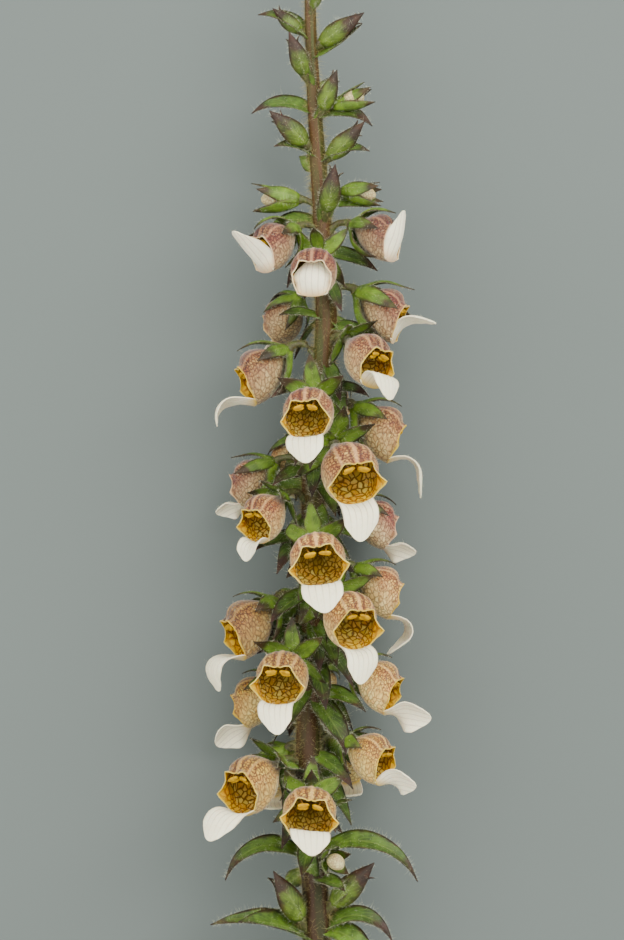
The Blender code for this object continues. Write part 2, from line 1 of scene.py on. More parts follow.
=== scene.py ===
import math
from contextlib import contextmanager
from dataclasses import dataclass
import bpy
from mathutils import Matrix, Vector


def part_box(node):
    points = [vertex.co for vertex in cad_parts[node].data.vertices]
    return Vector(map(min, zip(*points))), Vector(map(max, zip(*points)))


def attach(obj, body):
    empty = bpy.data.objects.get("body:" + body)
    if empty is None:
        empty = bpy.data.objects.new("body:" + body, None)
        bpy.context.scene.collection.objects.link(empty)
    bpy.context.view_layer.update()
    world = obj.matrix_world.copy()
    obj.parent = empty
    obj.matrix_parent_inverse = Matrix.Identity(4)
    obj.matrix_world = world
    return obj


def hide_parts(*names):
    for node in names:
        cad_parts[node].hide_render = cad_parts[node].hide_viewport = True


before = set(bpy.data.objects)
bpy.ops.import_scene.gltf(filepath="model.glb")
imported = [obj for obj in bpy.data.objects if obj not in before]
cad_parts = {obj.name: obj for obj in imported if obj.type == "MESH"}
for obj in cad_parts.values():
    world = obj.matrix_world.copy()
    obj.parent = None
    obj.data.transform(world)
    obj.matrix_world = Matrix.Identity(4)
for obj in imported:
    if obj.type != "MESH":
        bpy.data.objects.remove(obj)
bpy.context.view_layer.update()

from types import SimpleNamespace

import bpy
import numpy as np
from mathutils import Matrix, Vector

# A cut foxglove flower spike lying on a surface. Lengths are in millimetres in the plant's own
# frame until a mesh is written: the stem runs along +Y from its cut end, azimuth 0 faces up (+Z)
# and +90 faces +X. Each flower, bud and leaf is one row of the lists below.
MM = 0.001
GAP = 0.55  # between a corolla's root and the calyx's seat
AXIS_HEIGHT = 16.5  # stem axis above the surface

# height above the cut end, sway to +X, radius
STEM_LINE = (
    (0, 0.0, 3.1), (54, 0.0, 2.8), (91, -1.8, 2.5), (112, -0.7, 2.35), (150, -0.6, 2.3),
    (187, 2.3, 2.2), (210, 1.4, 1.95), (233, -0.2, 1.5), (253, -1.2, 1.25), (286, -1.4, 0.6),
)
# along the tube: share of its length, outward, down, half width, half height, ring's tilt
BELL = (
    (0.00, 0.0, 0.2, 0.95, 0.85, 46), (0.12, 1.2, 1.0, 1.8, 1.55, 44),
    (0.30, 3.2, 2.3, 4.1, 3.5, 40), (0.52, 5.4, 4.1, 6.4, 5.3, 37), (0.76, 7.8, 6.3, 6.8, 5.6, 33),
    (1.00, 9.7, 8.6, 5.2, 4.6, 26),
)
# the same for the finer bells: a little slimmer and deeper
SHAPE = (
    (0.00, 0.0, 0.2, 0.95, 0.85, 46), (0.12, 1.2, 1.0, 1.75, 1.6, 44),
    (0.30, 3.2, 2.3, 3.8, 3.65, 40), (0.52, 5.4, 4.1, 5.85, 5.5, 36),
    (0.76, 7.8, 6.2, 6.2, 5.9, 31), (1.00, 9.7, 8.3, 5.0, 4.9, 20),
)
TUBE_TILT = 38.0
# angle round the mouth from its top, how far the edge stands out there, how far it flares there
RIM = (
    (0, 0.4, -40), (9, 0.5, -10), (22, 1.0, 36), (32, 1.35, 52), (41, 0.8, 48), (55, 0.35, 45),
    (68, 0.4, 50), (78, 0.8, 60), (85, 1.6, 66), (90, 2.2, 68), (95, 1.5, 64), (103, 0.7, 55),
    (114, 0.35, 40), (128, 0.25, 25), (154, 0.0, 0), (180, 0.0, 0),
)
PETAL = 0.24  # thickness of a corolla's wall
MOUTH = 20.0  # where the bell's edge lies along its length, and the lip begins
HALF_ROUND = 17.0  # half of the way round the bell, from the lip's middle to the hood's top
LIP_ARC = 52.0  # the lip takes up this angle on either side of its middle
LIP_LENGTH = 12.5
LIP_HALF_WIDTH = 5.1
LIP_STEPS = 48
LIP_LINES = 1.6  # between the lines that run along a lip
OPENED = (0.05, 0.2)  # ages between which a corolla takes on the colours of an open one
GLOW_DEPTH = 0.8 * MM  # how deep light goes into a petal or a leaf
YOUNG_SCALE = 0.84  # of a corolla that is still shut
SEPAL_LENGTH = 10.5
SEPAL_HALF_WIDTH = 2.3
SHUT_HALF_WIDTH = 2.4
SEPALS = 5
SEPAL_TURNS = (0, 70, 142, 218, 290)
FACE_LEAN = 42.0  # how far the blades at the sides turn their faces up
GOLDEN_TURN = 137.5  # from one bud of the tip to the next


@dataclass
class Unit:
    """A flower or bud with its stalk, calyx and bract. Angles in degrees, lengths in mm."""

    height: float  # of its calyx along the stem, from the cut end
    azimuth: float  # which side of the stem it stands on
    size: float = 0.95
    nod: float = TUBE_TILT  # how far its tube looks down the stem
    turn: float = 0.0  # how far it looks past its azimuth
    reach: float = 8.3  # from the stem's axis to its calyx
    lip: tuple = (5, 110)  # how steeply the lip sets out, and how far it then rolls down
    bract: tuple = (13.0, -38, -25)  # length, rise and bend
    spread: float = 54  # how far the blades of the calyx stand open
    trough: float = 0.0  # how far the lip's sides stand up, or droop, more than usual
    lip_scale: float = 1.0
    twist: float = 0.0  # how far the lip is turned about its own length
    swing: float = 0.0  # how far the lip's end has swung sideways
    lobes: float = 1.0  # how far the side lobes stand out
    roll: float = 0.0  # how far the bell is turned about its tube
    lip_width: float = 1.0
    late: float = 0.0  # how much further out the lip begins to roll
    tone: float = 0.6  # how dark the corolla is
    bract_up: float = 0.0
    blade: float = 1.0  # how long the blades of the calyx are
    fresh: float = 0.0  # how much younger the corolla's colours are than its place tells


NEAR_FLOWERS = (
    Unit(208.4, -60, 0.86, nod=32, turn=4, lip=(36, -6), reach=7.2, bract=(12, -20, -45),
         trough=3.4, lobes=0.15, lip_scale=1.2, lip_width=1.22, tone=0.65, blade=1.25),
    Unit(209.3, 68, 0.85, nod=22, turn=-4, lip=(44, -24), reach=7.6, bract=(13, -8, -25),
         trough=3.0, lobes=0.15, lip_scale=1.16, lip_width=1.12, tone=0.9, blade=1.3),
    Unit(202.2, -10, 0.84, nod=30, lip=(53, -69), reach=7.0, bract=(12, 60, -20), trough=2.6,
         lip_scale=0.94, lobes=0.2, lip_width=1.3, spread=86, tone=0.55),
    Unit(194.0, 80, 0.94, nod=36, lip=(66, 88), reach=7.6, lip_scale=1.16, lobes=0.5, twist=9,
         late=0.08, tone=0.55, blade=1.35),
    Unit(193.3, -130, 0.78, nod=46, lip=(-10, 40), reach=8.0, lip_scale=0.7, lobes=0.5, tone=0.7),
    Unit(180.6, -84, 0.97, nod=40, turn=6, lip=(14, 112), reach=9.0, lip_scale=1.12, roll=6,
         twist=-9, late=0.2, tone=0.75, blade=1.2),
    Unit(182.9, 42, 0.93, nod=32, lip=(54, 140), reach=7.4, bract=(14, -62, -8), lobes=0.7,
         roll=-12, tone=0.6),
    Unit(169.7, -11, 0.92, nod=24, lip=(-2, 76), reach=7.4, lobes=0.7, roll=4, swing=1.3, tone=0.4),
    Unit(167.5, 88, 0.97, nod=40, lip=(22, 112), reach=8.2, lip_scale=1.26, lobes=0.9, twist=5,
         tone=0.5, blade=1.15),
    Unit(154.8, -108, 0.82, nod=36, lip=(16, 52), reach=9.8, bract=(12, 10, -40), trough=-1.8,
         lip_scale=0.76, lip_width=0.9, twist=-34, tone=0.7, blade=1.35, fresh=0.4),
    Unit(158.9, 31, 1.06, nod=38, turn=-4, lip=(-10, 76), reach=8.2, roll=7, lip_scale=0.86,
         lip_width=0.86, swing=-1.6, tone=0.25),
    Unit(147.0, -55, 0.84, nod=36, turn=8, lip=(4, 84), reach=8.4, bract=(15, -50, -10), trough=1.4,
         lip_scale=0.66, lip_width=0.9, tone=0.4, fresh=0.15),
    Unit(145.6, 104, 0.84, nod=38, lip=(18, 44), reach=9.6, trough=-2.0, lip_scale=0.82, twist=38,
         tone=0.1, blade=1.15, fresh=0.45),
    Unit(136.2, 4, 1.0, nod=20, lip=(0, 80), reach=7.4, roll=7, tone=0),
    Unit(130.4, 96, 0.9, nod=38, lip=(0, 146), reach=9.8, lip_scale=1.3, twist=5, tone=0.1,
         fresh=0.15),
    Unit(123.0, -80, 1.02, nod=40, turn=8, lip=(12, 128), reach=9.0, lip_scale=1.12, roll=4,
         twist=8, late=0.1, tone=0.95),
    Unit(124.6, 34, 1.0, nod=34, turn=-2, lip=(-4, 92), reach=7.8, roll=-1, lip_scale=0.9,
         lip_width=0.86, swing=-1.5, tone=0.15),
    Unit(110.2, -34, 0.95, nod=26, turn=16, lip=(-2, 76), reach=8.0, roll=-1, lip_width=0.9,
         swing=2.6, tone=0.6),
    Unit(108.8, 88, 0.92, nod=38, turn=-12, lip=(10, 24), reach=9.6, trough=-1.6, twist=62,
         lip_scale=0.95, tone=0.12, fresh=0.2),
    Unit(105.2, -118, 0.88, nod=42, turn=10, lip=(0, 40), reach=9.0, trough=-1.6, twist=-48,
         lip_scale=0.9, tone=0.5),
    Unit(91.2, 79, 0.9, nod=28, turn=-14, lip=(14, 40), reach=8.6, bract=(16, -48, -20),
         lip_scale=0.8, twist=52, lobes=0.6, lip_width=0.9, tone=0.45),
    Unit(86.0, -58, 1.04, nod=26, turn=10, lip=(6, 84), reach=8.0, bract=(14, -70, 10),
         lip_scale=0.92, roll=3, twist=22, lip_width=0.88, swing=-1.8, tone=0.55),
    Unit(78.4, 0, 0.96, nod=17, lip=(18, 84), reach=7.2, bract=(16, 66, -15), roll=-6,
         lip_scale=1.18, swing=0.9, tone=0.5),
)
# flowers on the far side: height, azimuth, size, reach, lip, length of the lip
FAR_FLOWERS = tuple(
    Unit(height, azimuth, size, nod=44, reach=reach, lip=lip, spread=44, lip_scale=lip_scale)
    for height, azimuth, size, reach, lip, lip_scale in (
        (174.5, 174, 0.78, 5.7, (-30, 150), 0.7), (160.5, -152, 0.78, 7.65, (-30, 150), 0.7),
        (157.0, 141, 0.8, 8.6, (-30, 150), 0.7), (142.6, 179, 0.8, 5.4, (-30, 150), 0.7),
        (125.6, 139, 0.82, 7.4, (-30, 150), 0.7), (124.0, -146, 0.82, 7.2, (-30, 150), 0.7),
        (108.5, 176, 0.8, 5.4, (-30, 150), 0.7), (91.5, 139, 0.82, 8.2, (-40, 140), 0.6),
        (88.5, -142, 0.82, 7.8, (-40, 140), 0.6),
    )
)
FLOWERS = (*NEAR_FLOWERS, *FAR_FLOWERS)
BUDS = (
    Unit(215.5, -94, 0.80, nod=-4, reach=5.4, bract=(13, 34, -80), spread=40, blade=1.25),
    Unit(217.0, 84, 0.72, nod=2, reach=5.4, bract=(11, 10, -30), spread=38, blade=1.2, bract_up=3),
    Unit(237.0, 80, 0.66, nod=-20, reach=5.0, bract=(14, 26, -74), spread=34, blade=1.35,
         bract_up=2.5),
    Unit(223.0, -170, 0.62, nod=-20, reach=4.4, bract=(9, 10, -30), spread=44),
    Unit(64.5, 30, 0.62, nod=10, reach=6.2, bract=(12, 0, -20), spread=44),
)
SHUT_BUDS = (
    Unit(213.0, 24, 0.92, nod=-66, reach=3.2, bract=(12.5, 70, -12), spread=24),
    Unit(225.5, 66, 0.86, nod=-42, reach=3.4, bract=(13, 40, -64), spread=24, bract_up=2,
         blade=1.1),
    Unit(228.5, -64, 0.94, nod=-38, reach=3.2, bract=(11, 40, -60), spread=24),
    Unit(236.5, 42, 0.8, nod=-60, reach=3.0, bract=(9, 60, -5), spread=24),
    Unit(239.0, 158, 0.66, nod=-40, reach=2.8, bract=(10, 30, -30), spread=24),
    Unit(244.5, -44, 0.86, nod=-60, reach=2.6, bract=(11.5, 60, 5), spread=24),
    Unit(251.5, 76, 0.86, nod=-34, reach=2.8, bract=(13.5, 24, 15), spread=24, blade=1.14),
    Unit(254.5, -92, 0.66, nod=-40, reach=2.8, bract=(14, 62, -74), spread=24, bract_up=1),
    Unit(50.5, -58, 1.1, nod=-58, reach=4.6, bract=(20, 34, -40), spread=26),
    Unit(54.0, 64, 1.15, nod=-44, reach=4.8, bract=(17, 6, -85), spread=22),
    Unit(60.0, -150, 0.8, nod=20, reach=5.4, bract=(15, -20, -10), spread=26),
)
# leaves with no flower: height of the root, azimuth, length, half width, rise at the root, bend
LEAVES = (
    (101, 52, 16.5, 3.2, -44, -16), (63.5, -76, 24, 2.7, 50, -125), (65.5, 80, 27, 2.8, 36, -105),
    (58, -20, 14, 2.0, 76, -14), (48, -84, 23, 2.7, 22, -40), (47.5, 74, 20, 2.7, 54, -125),
    (36, 130, 24, 2.5, 14, -24), (31, -128, 26, 2.6, 16, -24), (24, 20, 26, 2.7, 50, -40),
    (15, -40, 28, 2.9, 44, -44),
)
# small blades that fill the spike between its flowers: height, azimuth, length, rise, bend
SMALL_LEAVES = (
    (235.5, -88, 15, 36, -76), (200, -34, 11, -38, -20), (197, 30, 10, -46, -10),
    (188, -56, 12, 22, -40), (186, 64, 12, 10, -50), (178, 30, 11, -52, -10),
    (176, -26, 12, -40, -24), (172, -58, 13, 12, -46), (171, 58, 12, 24, -60),
    (163, -30, 13, -34, -20), (160, 54, 12, -50, -16), (157, -6, 12, -60, 4),
    (153, -44, 13, 6, -44), (150, 66, 13, 4, -36), (146, 22, 13, -58, -6), (142, -28, 14, -48, -10),
    (139, 52, 13, 20, -60), (137, -62, 14, 16, -50), (130, -20, 13, -64, 2),
    (128, 60, 13, -40, -16), (125, -48, 14, -10, -40), (119, 10, 14, -56, -10),
    (116, -66, 14, 8, -48), (114, 56, 14, -30, -36), (110, 16, 15, -40, -20),
    (104, -168, 13, -62, 4), (102, 62, 14, 10, -56), (99, -158, 14, -20, -30),
    (96, 162, 14, -56, -14), (92, 176, 14, -50, 0), (88, 52, 14, -14, -40), (84, -34, 14, 20, -36),
    (80, 30, 14, -30, -24), (75, -36, 13, 44, -30), (72, 46, 13, 50, -44), (69, -12, 13, -40, 0),
)
TIP_START, TIP_END, TIP_BUDS = 260.0, 284.5, 8


# ---------------------------------------------------------------- small helpers
def smooth_between(rows, at):
    """The columns of rows, read smoothly at values of the first column."""
    table = np.array(rows, float)
    keys, values = table[:, 0], table[:, 1:]
    at = np.clip(np.atleast_1d(np.asarray(at, float)), keys[0], keys[-1])
    i = np.clip(np.searchsorted(keys, at, side="right") - 1, 0, len(keys) - 2)
    span = (keys[i + 1] - keys[i])[:, None]
    s = (at - keys[i])[:, None] / span
    slopes = np.gradient(values, keys, axis=0)
    return (
        (2 * s**3 - 3 * s**2 + 1) * values[i]
        + (s**3 - 2 * s**2 + s) * span * slopes[i]
        + (3 * s**2 - 2 * s**3) * values[i + 1]
        + (s**3 - s**2) * span * slopes[i + 1]
    )


def read_line(at, steps, line):
    """Points of a line at values of its steps."""
    return np.stack([np.interp(at, steps, line[:, k]) for k in range(3)], -1)


def ease(s):
    """0 to 1, flat at both ends."""
    s = np.clip(s, 0.0, 1.0)
    return s * s * (3 - 2 * s)


def hump(value, middle, width):
    """1 at the middle, and soon 0 on both sides of it."""
    return np.exp(-(((value - middle) / width) ** 2))


def unit_length(ways):
    return ways / np.linalg.norm(ways, axis=1, keepdims=True)


def stem_point(height):
    return Vector((smooth_between(STEM_LINE, height)[0, 0], height, 0.0))


def stem_radius(height):
    return float(smooth_between(STEM_LINE, height)[0, 1])


def outward(azimuth):
    turn = math.radians(azimuth)
    return Vector((math.sin(turn), 0.0, math.cos(turn)))


def heading(azimuth, rise):
    up = math.radians(rise)
    return outward(azimuth) * math.cos(up) + Vector((0, 1, 0)) * math.sin(up)


def tube_axes(tilt=TUBE_TILT):
    """The way that a tilted tube looks, and the top of its mouth, in a flower's own frame."""
    tilt = math.radians(tilt)
    return (0, -math.sin(tilt), math.cos(tilt)), (0, math.cos(tilt), math.sin(tilt))


def unit_frame(unit):
    """A flower's own frame, with X across it, Y up the stem and Z outward, at its calyx."""
    base = stem_point(unit.height) + outward(unit.azimuth) * unit.reach
    return (
        Matrix.Translation(base)
        @ Matrix.Rotation(math.radians(unit.azimuth + unit.turn), 4, "Y")
        @ Matrix.Rotation(math.radians(unit.nod - TUBE_TILT), 4, "X")
        @ Matrix.Rotation(math.radians(unit.roll), 4, Vector(tube_axes()[0]))
    )


def unit_place(unit, scale=1.0):
    """A flower's own frame at its own size."""
    return unit_frame(unit) @ Matrix.Scale(unit.size * scale, 4)


def turned(matrix, points):
    """A matrix applied to an array of points."""
    m = np.array(matrix)
    return np.asarray(points) @ m[:3, :3].T + m[:3, 3]


def ring_points(side, up, out, down, tilt):
    """Points of a tilted ring of the tube, in the flower's own frame."""
    return np.stack([side, up * np.cos(tilt) - down, up * np.sin(tilt) + out], -1)


def plant_place():
    """Where the plant frame's zero lies in the part, found from the first bud's corolla."""
    rings = []
    turn = np.radians(np.arange(8) * 45.0)
    for share, narrow in ((0.0, 1.0), (0.3, 0.72), (0.6, 0.62), (0.85, 0.42)):
        out, down, half_width, half_height, tilt = smooth_between(BELL, share)[0]
        side, up = half_width * np.sin(turn) * narrow, half_height * np.cos(turn) * narrow
        rings.append(ring_points(side, up, out, down, math.radians(tilt)))
    points = turned(unit_place(BUDS[0]), np.concatenate(rings))
    low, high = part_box("bud_corolla_01")
    middle = (np.array(low) + np.array(high)) / 2 / MM
    return middle - (points.min(0) + points.max(0)) / 2


PLANT_PLACE = plant_place()


def to_row(points):
    """Plant millimetres as metres in the part's frame."""
    return (np.asarray(points, float) + PLANT_PLACE) * MM


# ---------------------------------------------------------------- meshes
@contextmanager
def edit_mode():
    bpy.ops.object.mode_set(mode="EDIT")
    yield
    bpy.ops.object.mode_set(mode="OBJECT")


def pick(obj=None):
    """Picks one object and nothing else, or nothing at all."""
    bpy.ops.object.select_all(action="DESELECT")
    if obj:
        obj.select_set(True)
        bpy.context.view_layer.objects.active = obj


def grid_sheet(name, columns, rows):
    """A flat grid two units wide and long, to be shaped further."""
    pick()
    bpy.ops.mesh.primitive_grid_add(x_subdivisions=columns, y_subdivisions=rows, size=2)
    obj = bpy.context.object
    obj.name = obj.data.name = name
    return obj


def corners_of(obj):
    co = np.empty(len(obj.data.vertices) * 3)
    obj.data.vertices.foreach_get("co", co)
    return co.reshape(-1, 3)


def set_corners(mesh, points):
    mesh.vertices.foreach_set("co", np.asarray(points, float).ravel())
    mesh.update()


def loop_corners(mesh):
    """The point that each corner of each face stands on."""
    corner = np.empty(len(mesh.loops), int)
    mesh.loops.foreach_get("vertex_index", corner)
    return corner


def close_ring(obj, on_ring):
    """Fills an open ring of edges; on_ring says which points lie on it."""
    bpy.context.tool_settings.mesh_select_mode = (False, True, False)
    with edit_mode():
        bpy.ops.mesh.select_all(action="DESELECT")
    for edge in obj.data.edges:
        edge.select = bool(on_ring[edge.vertices[0]] and on_ring[edge.vertices[1]])
    with edit_mode():
        bpy.ops.mesh.edge_face_add()
    bpy.context.tool_settings.mesh_select_mode = (True, False, False)


def add_wall(obj, thickness, offset, **settings):
    """Gives a sheet its thickness."""
    wall = obj.modifiers.new("wall", "SOLIDIFY")
    for key, value in dict(settings, thickness=thickness, offset=offset).items():
        setattr(wall, key, value)
    pick(obj)
    bpy.ops.object.modifier_apply(modifier=wall.name)


def take_master(obj):
    """Reads a finished master into arrays and removes it."""
    mesh = obj.data
    uv = np.empty(len(mesh.loops) * 2)
    mesh.uv_layers.active.data.foreach_get("uv", uv)
    faces = [tuple(face.vertices) for face in mesh.polygons]
    master = SimpleNamespace(points=corners_of(obj), faces=faces, corner=loop_corners(mesh),
                             corner_uv=uv.reshape(-1, 2))
    bpy.data.objects.remove(obj)
    bpy.data.meshes.remove(mesh)
    return master


def new_piece(name, mesh, materials):
    obj = bpy.data.objects.new(name, mesh)
    mesh.name = name
    bpy.context.scene.collection.objects.link(obj)
    for material in materials:
        mesh.materials.append(material)
    return obj


def mark(mesh, copies=1, **values):
    """Values for a mesh's material to read: one for all of it, or one for each of its copies."""
    each = (copies, len(mesh.vertices) // copies)
    for key, value in values.items():
        layer = mesh.attributes.new(key, "FLOAT", "POINT")
        value = np.broadcast_to(np.reshape(np.asarray(value, float), (-1, 1)), each)
        layer.data.foreach_set("value", np.ascontiguousarray(value).ravel())


def lay_copies(name, master, places, material, **values):
    """One piece of all the copies of a master: places holds each copy's points."""
    count, n = len(places), len(master.points)
    faces = [tuple(i + k * n for i in face) for k in range(count) for face in master.faces]
    mesh = bpy.data.meshes.new(name)
    mesh.from_pydata(to_row(np.concatenate(places)).tolist(), [], faces)
    obj = new_piece(name, mesh, (material,))
    layer = mesh.uv_layers.new(name="along_and_across")
    layer.data.foreach_set("uv", np.tile(master.corner_uv, (count, 1)).ravel())
    mark(mesh, count, **values)
    mesh.shade_smooth()
    return obj


# ---------------------------------------------------------------- nodes
def tint(colour):
    """A colour as the eye reads it, 0 to 255, made linear."""
    return (*(((v / 255 + 0.055) / 1.055) ** 2.4 if v > 10 else v / 255 / 12.92 for v in colour), 1)


class Paint:
    """Short ways to add nodes to one material or node group. Colours are given as 0 to 255."""

    def __init__(self, tree):
        self.tree = tree

    def put(self, kind, feeds=(), **settings):
        """A node with its settings, and its sockets fed by links or values."""
        node = self.tree.nodes.new("ShaderNode" + kind)
        for key, value in settings.items():
            setattr(node, key, value)
        for socket, value in dict(feeds).items():
            if isinstance(value, bpy.types.NodeSocket):
                self.tree.links.new(value, node.inputs[socket])
            elif value is not None:
                node.inputs[socket].default_value = value
        return node

    def calc(self, operation, a, b=None, c=None, clamp=False):
        feeds = {0: a, 1: b, 2: c}
        return self.put("Math", feeds, operation=operation, use_clamp=clamp).outputs[0]

    def times(self, a, b, clamp=False):
        return self.calc("MULTIPLY", a, b, clamp=clamp)

    def size(self, value):
        return self.calc("ABSOLUTE", value)

    def span(self, value, low, high, to_low=0.0, to_high=1.0):
        """A smooth step of a value between two limits."""
        feeds = {"Value": value, "From Min": low, "From Max": high, "To Min": to_low,
                 "To Max": to_high}
        return self.put("MapRange", feeds, interpolation_type="SMOOTHSTEP").outputs["Result"]

    def between(self, share, a, b):
        """A value part of the way from a to b."""
        return self.calc("MULTIPLY_ADD", share, self.calc("SUBTRACT", b, a), a)

    def mix(self, share, a, b):
        """A colour part of the way from a to b."""
        a, b = (c if isinstance(c, bpy.types.NodeSocket) else tint(c) for c in (a, b))
        return self.blend("MIX", share, a, b)

    def lay(self, colour, over, share, amount):
        """A second colour over the first, as far as a mask and an amount say."""
        return self.mix(self.times(share, amount), colour, over)

    def shade(self, colour, factors, share):
        """A colour made darker by these factors, as far as a mask says."""
        return self.blend("MULTIPLY", share, colour, (*factors, 1))

    def blend(self, how, share, a, b):
        settings = {"data_type": "RGBA", "blend_type": how, "clamp_factor": True}
        return self.put("Mix", {0: share, 6: a, 7: b}, **settings).outputs[2]

    def ripple(self, value, period, shift, width):
        """Narrow lines that return every period of a value."""
        at = self.calc("FRACT", self.calc("ADD", self.calc("DIVIDE", value, period), shift))
        return self.span(self.size(self.calc("SUBTRACT", at, 0.5)), width, width * 0.2)

    def noise(self, place, scale, detail, dimensions="3D"):
        feeds = {"Vector": place, "Scale": scale, "Detail": detail}
        return self.put("TexNoise", feeds, noise_dimensions=dimensions).outputs

    def attribute(self, name):
        return self.put("Attribute", attribute_name=name).outputs["Fac"]

    def across_along(self):
        """The piece's own coordinates, across it and along it."""
        uv = self.put("UVMap", uv_map="along_and_across").outputs["UV"]
        parts = self.put("SeparateXYZ", {0: uv})
        return parts.outputs["X"], parts.outputs["Y"]

    def group(self, tree, **feeds):
        """What a node group puts out, when it is fed like this."""
        return self.put("Group", feeds, node_tree=tree).outputs

    def finish(self, colour, relief, strength, depth=0.1, sunken=False):
        """Gives the shader its colour and a bump that is so many millimetres deep."""
        feeds = {"Height": relief, "Strength": strength, "Distance": depth * MM}
        bump = self.put("Bump", feeds, invert=sunken)
        self.tree.links.new(colour, self.shader.inputs["Base Color"])
        self.tree.links.new(bump.outputs["Normal"], self.shader.inputs["Normal"])
        return self.material


def new_group(name, inputs, outputs):
    """An empty node group with sockets for numbers."""
    tree = bpy.data.node_groups.new(name, "ShaderNodeTree")
    for way, labels in (("INPUT", inputs), ("OUTPUT", outputs)):
        for label in labels:
            socket = tree.interface.new_socket(label, in_out=way, socket_type="NodeSocketFloat")
            if way == "INPUT":
                socket.default_value = inputs[label]
    given, result = tree.nodes.new("NodeGroupInput"), tree.nodes.new("NodeGroupOutput")
    return Paint(tree), given.outputs, result.inputs


def new_paint(name, roughness, **constants):
    material = bpy.data.materials.new(name)
    material.use_nodes = True
    p = Paint(material.node_tree)
    p.material, p.shader = material, p.tree.nodes["Principled BSDF"]
    for key, value in dict(constants, Roughness=roughness).items():
        p.shader.inputs[key.replace("_", " ")].default_value = value
    return p


# ---------------------------------------------------------------- patterns and skins
def net_group():
    """A net of veins round rounded cells: where its lines run, and a value for each cell."""
    p, given, result = new_group(
        "vein net",
        {"Across": 0.0, "Along": 0.0, "Seed": 0.0, "Cell": 0.8, "Stretch": 1.3, "Line": 0.1},
        ("Line", "Cell"),
    )
    x = p.calc("ADD", p.calc("DIVIDE", given["Across"], given["Cell"]),
               p.times(given["Seed"], 71.3))
    y = p.calc("DIVIDE", given["Along"], p.times(given["Cell"], given["Stretch"]))
    flat = p.put("CombineXYZ", {"X": x, "Y": y}).outputs[0]
    moved = p.noise(flat, 0.7, 1.0, "2D")["Color"]
    for operation, feeds in (("SUBTRACT", {1: (0.5, 0.5, 0.0)}), ("SCALE", {"Scale": 0.9}),
                             ("ADD", {1: flat})):
        moved = p.put("VectorMath", {0: moved, **feeds}, operation=operation).outputs[0]
    feeds = {"Vector": moved, "Scale": 1.0, "Randomness": 1.0}
    edge, cell = (p.put("TexVoronoi", feeds, feature=kind, voronoi_dimensions="2D").outputs
                  for kind in ("DISTANCE_TO_EDGE", "F1"))
    width = p.calc("DIVIDE", given["Line"], given["Cell"])
    line = p.span(edge["Distance"], p.times(width, 1.6), p.times(width, 0.3))
    p.tree.links.new(line, result["Line"])
    value = p.put("SeparateColor", {"Color": cell["Color"]}).outputs[0]
    p.tree.links.new(value, result["Cell"])
    return p.tree


def mottle_group():
    """Soft uneven patches and a fine grain, both about 0 to 1."""
    p, given, result = new_group("soft mottling", {"Patch": 3.0, "Grain": 0.25},
                                 ("Patches", "Grain"))
    place = p.put("TexCoord").outputs["Object"]
    for size, mask, detail in (("Patch", "Patches", 3.0), ("Grain", "Grain", 2.0)):
        spots = p.noise(place, p.calc("DIVIDE", 1 / MM, given[size]), detail)["Fac"]
        p.tree.links.new(p.span(spots, 0.3, 0.7), result[mask])
    return p.tree


def marks_group():
    """The purple of a blade's tip and margin, its midrib and its veins."""
    p, given, result = new_group(
        "tip and margin",
        {"Across": 0.0, "Along": 0.0, "Tip": 0.7, "Seed": 0.0, "Margin": 0.84},
        ("Purple", "Midrib", "Veins"),
    )
    spots = p.noise(p.put("TexCoord").outputs["Object"], 420.0, 3.0)["Fac"]
    rough = p.calc("MULTIPLY_ADD", spots, 0.6, -0.3)
    start = p.calc("MULTIPLY_ADD", given["Seed"], -0.2, given["Tip"])
    tip = p.span(p.calc("ADD", given["Along"], rough), start, p.calc("ADD", start, 0.3))
    off_middle = p.size(given["Across"])
    margin = p.span(p.calc("ADD", off_middle, rough), given["Margin"], 1.0)
    margin = p.times(margin, p.span(given["Along"], 0.05, 0.5, 0.3, 1.0))
    slant = p.calc("MULTIPLY_ADD", off_middle, -0.35, given["Along"])
    for mask, value in (("Purple", p.calc("MAXIMUM", tip, margin)),
                        ("Midrib", p.span(off_middle, 0.12, 0.02)),
                        ("Veins", p.ripple(slant, 0.11, 0.0, 0.16))):
        p.tree.links.new(value, result[mask])
    return p.tree


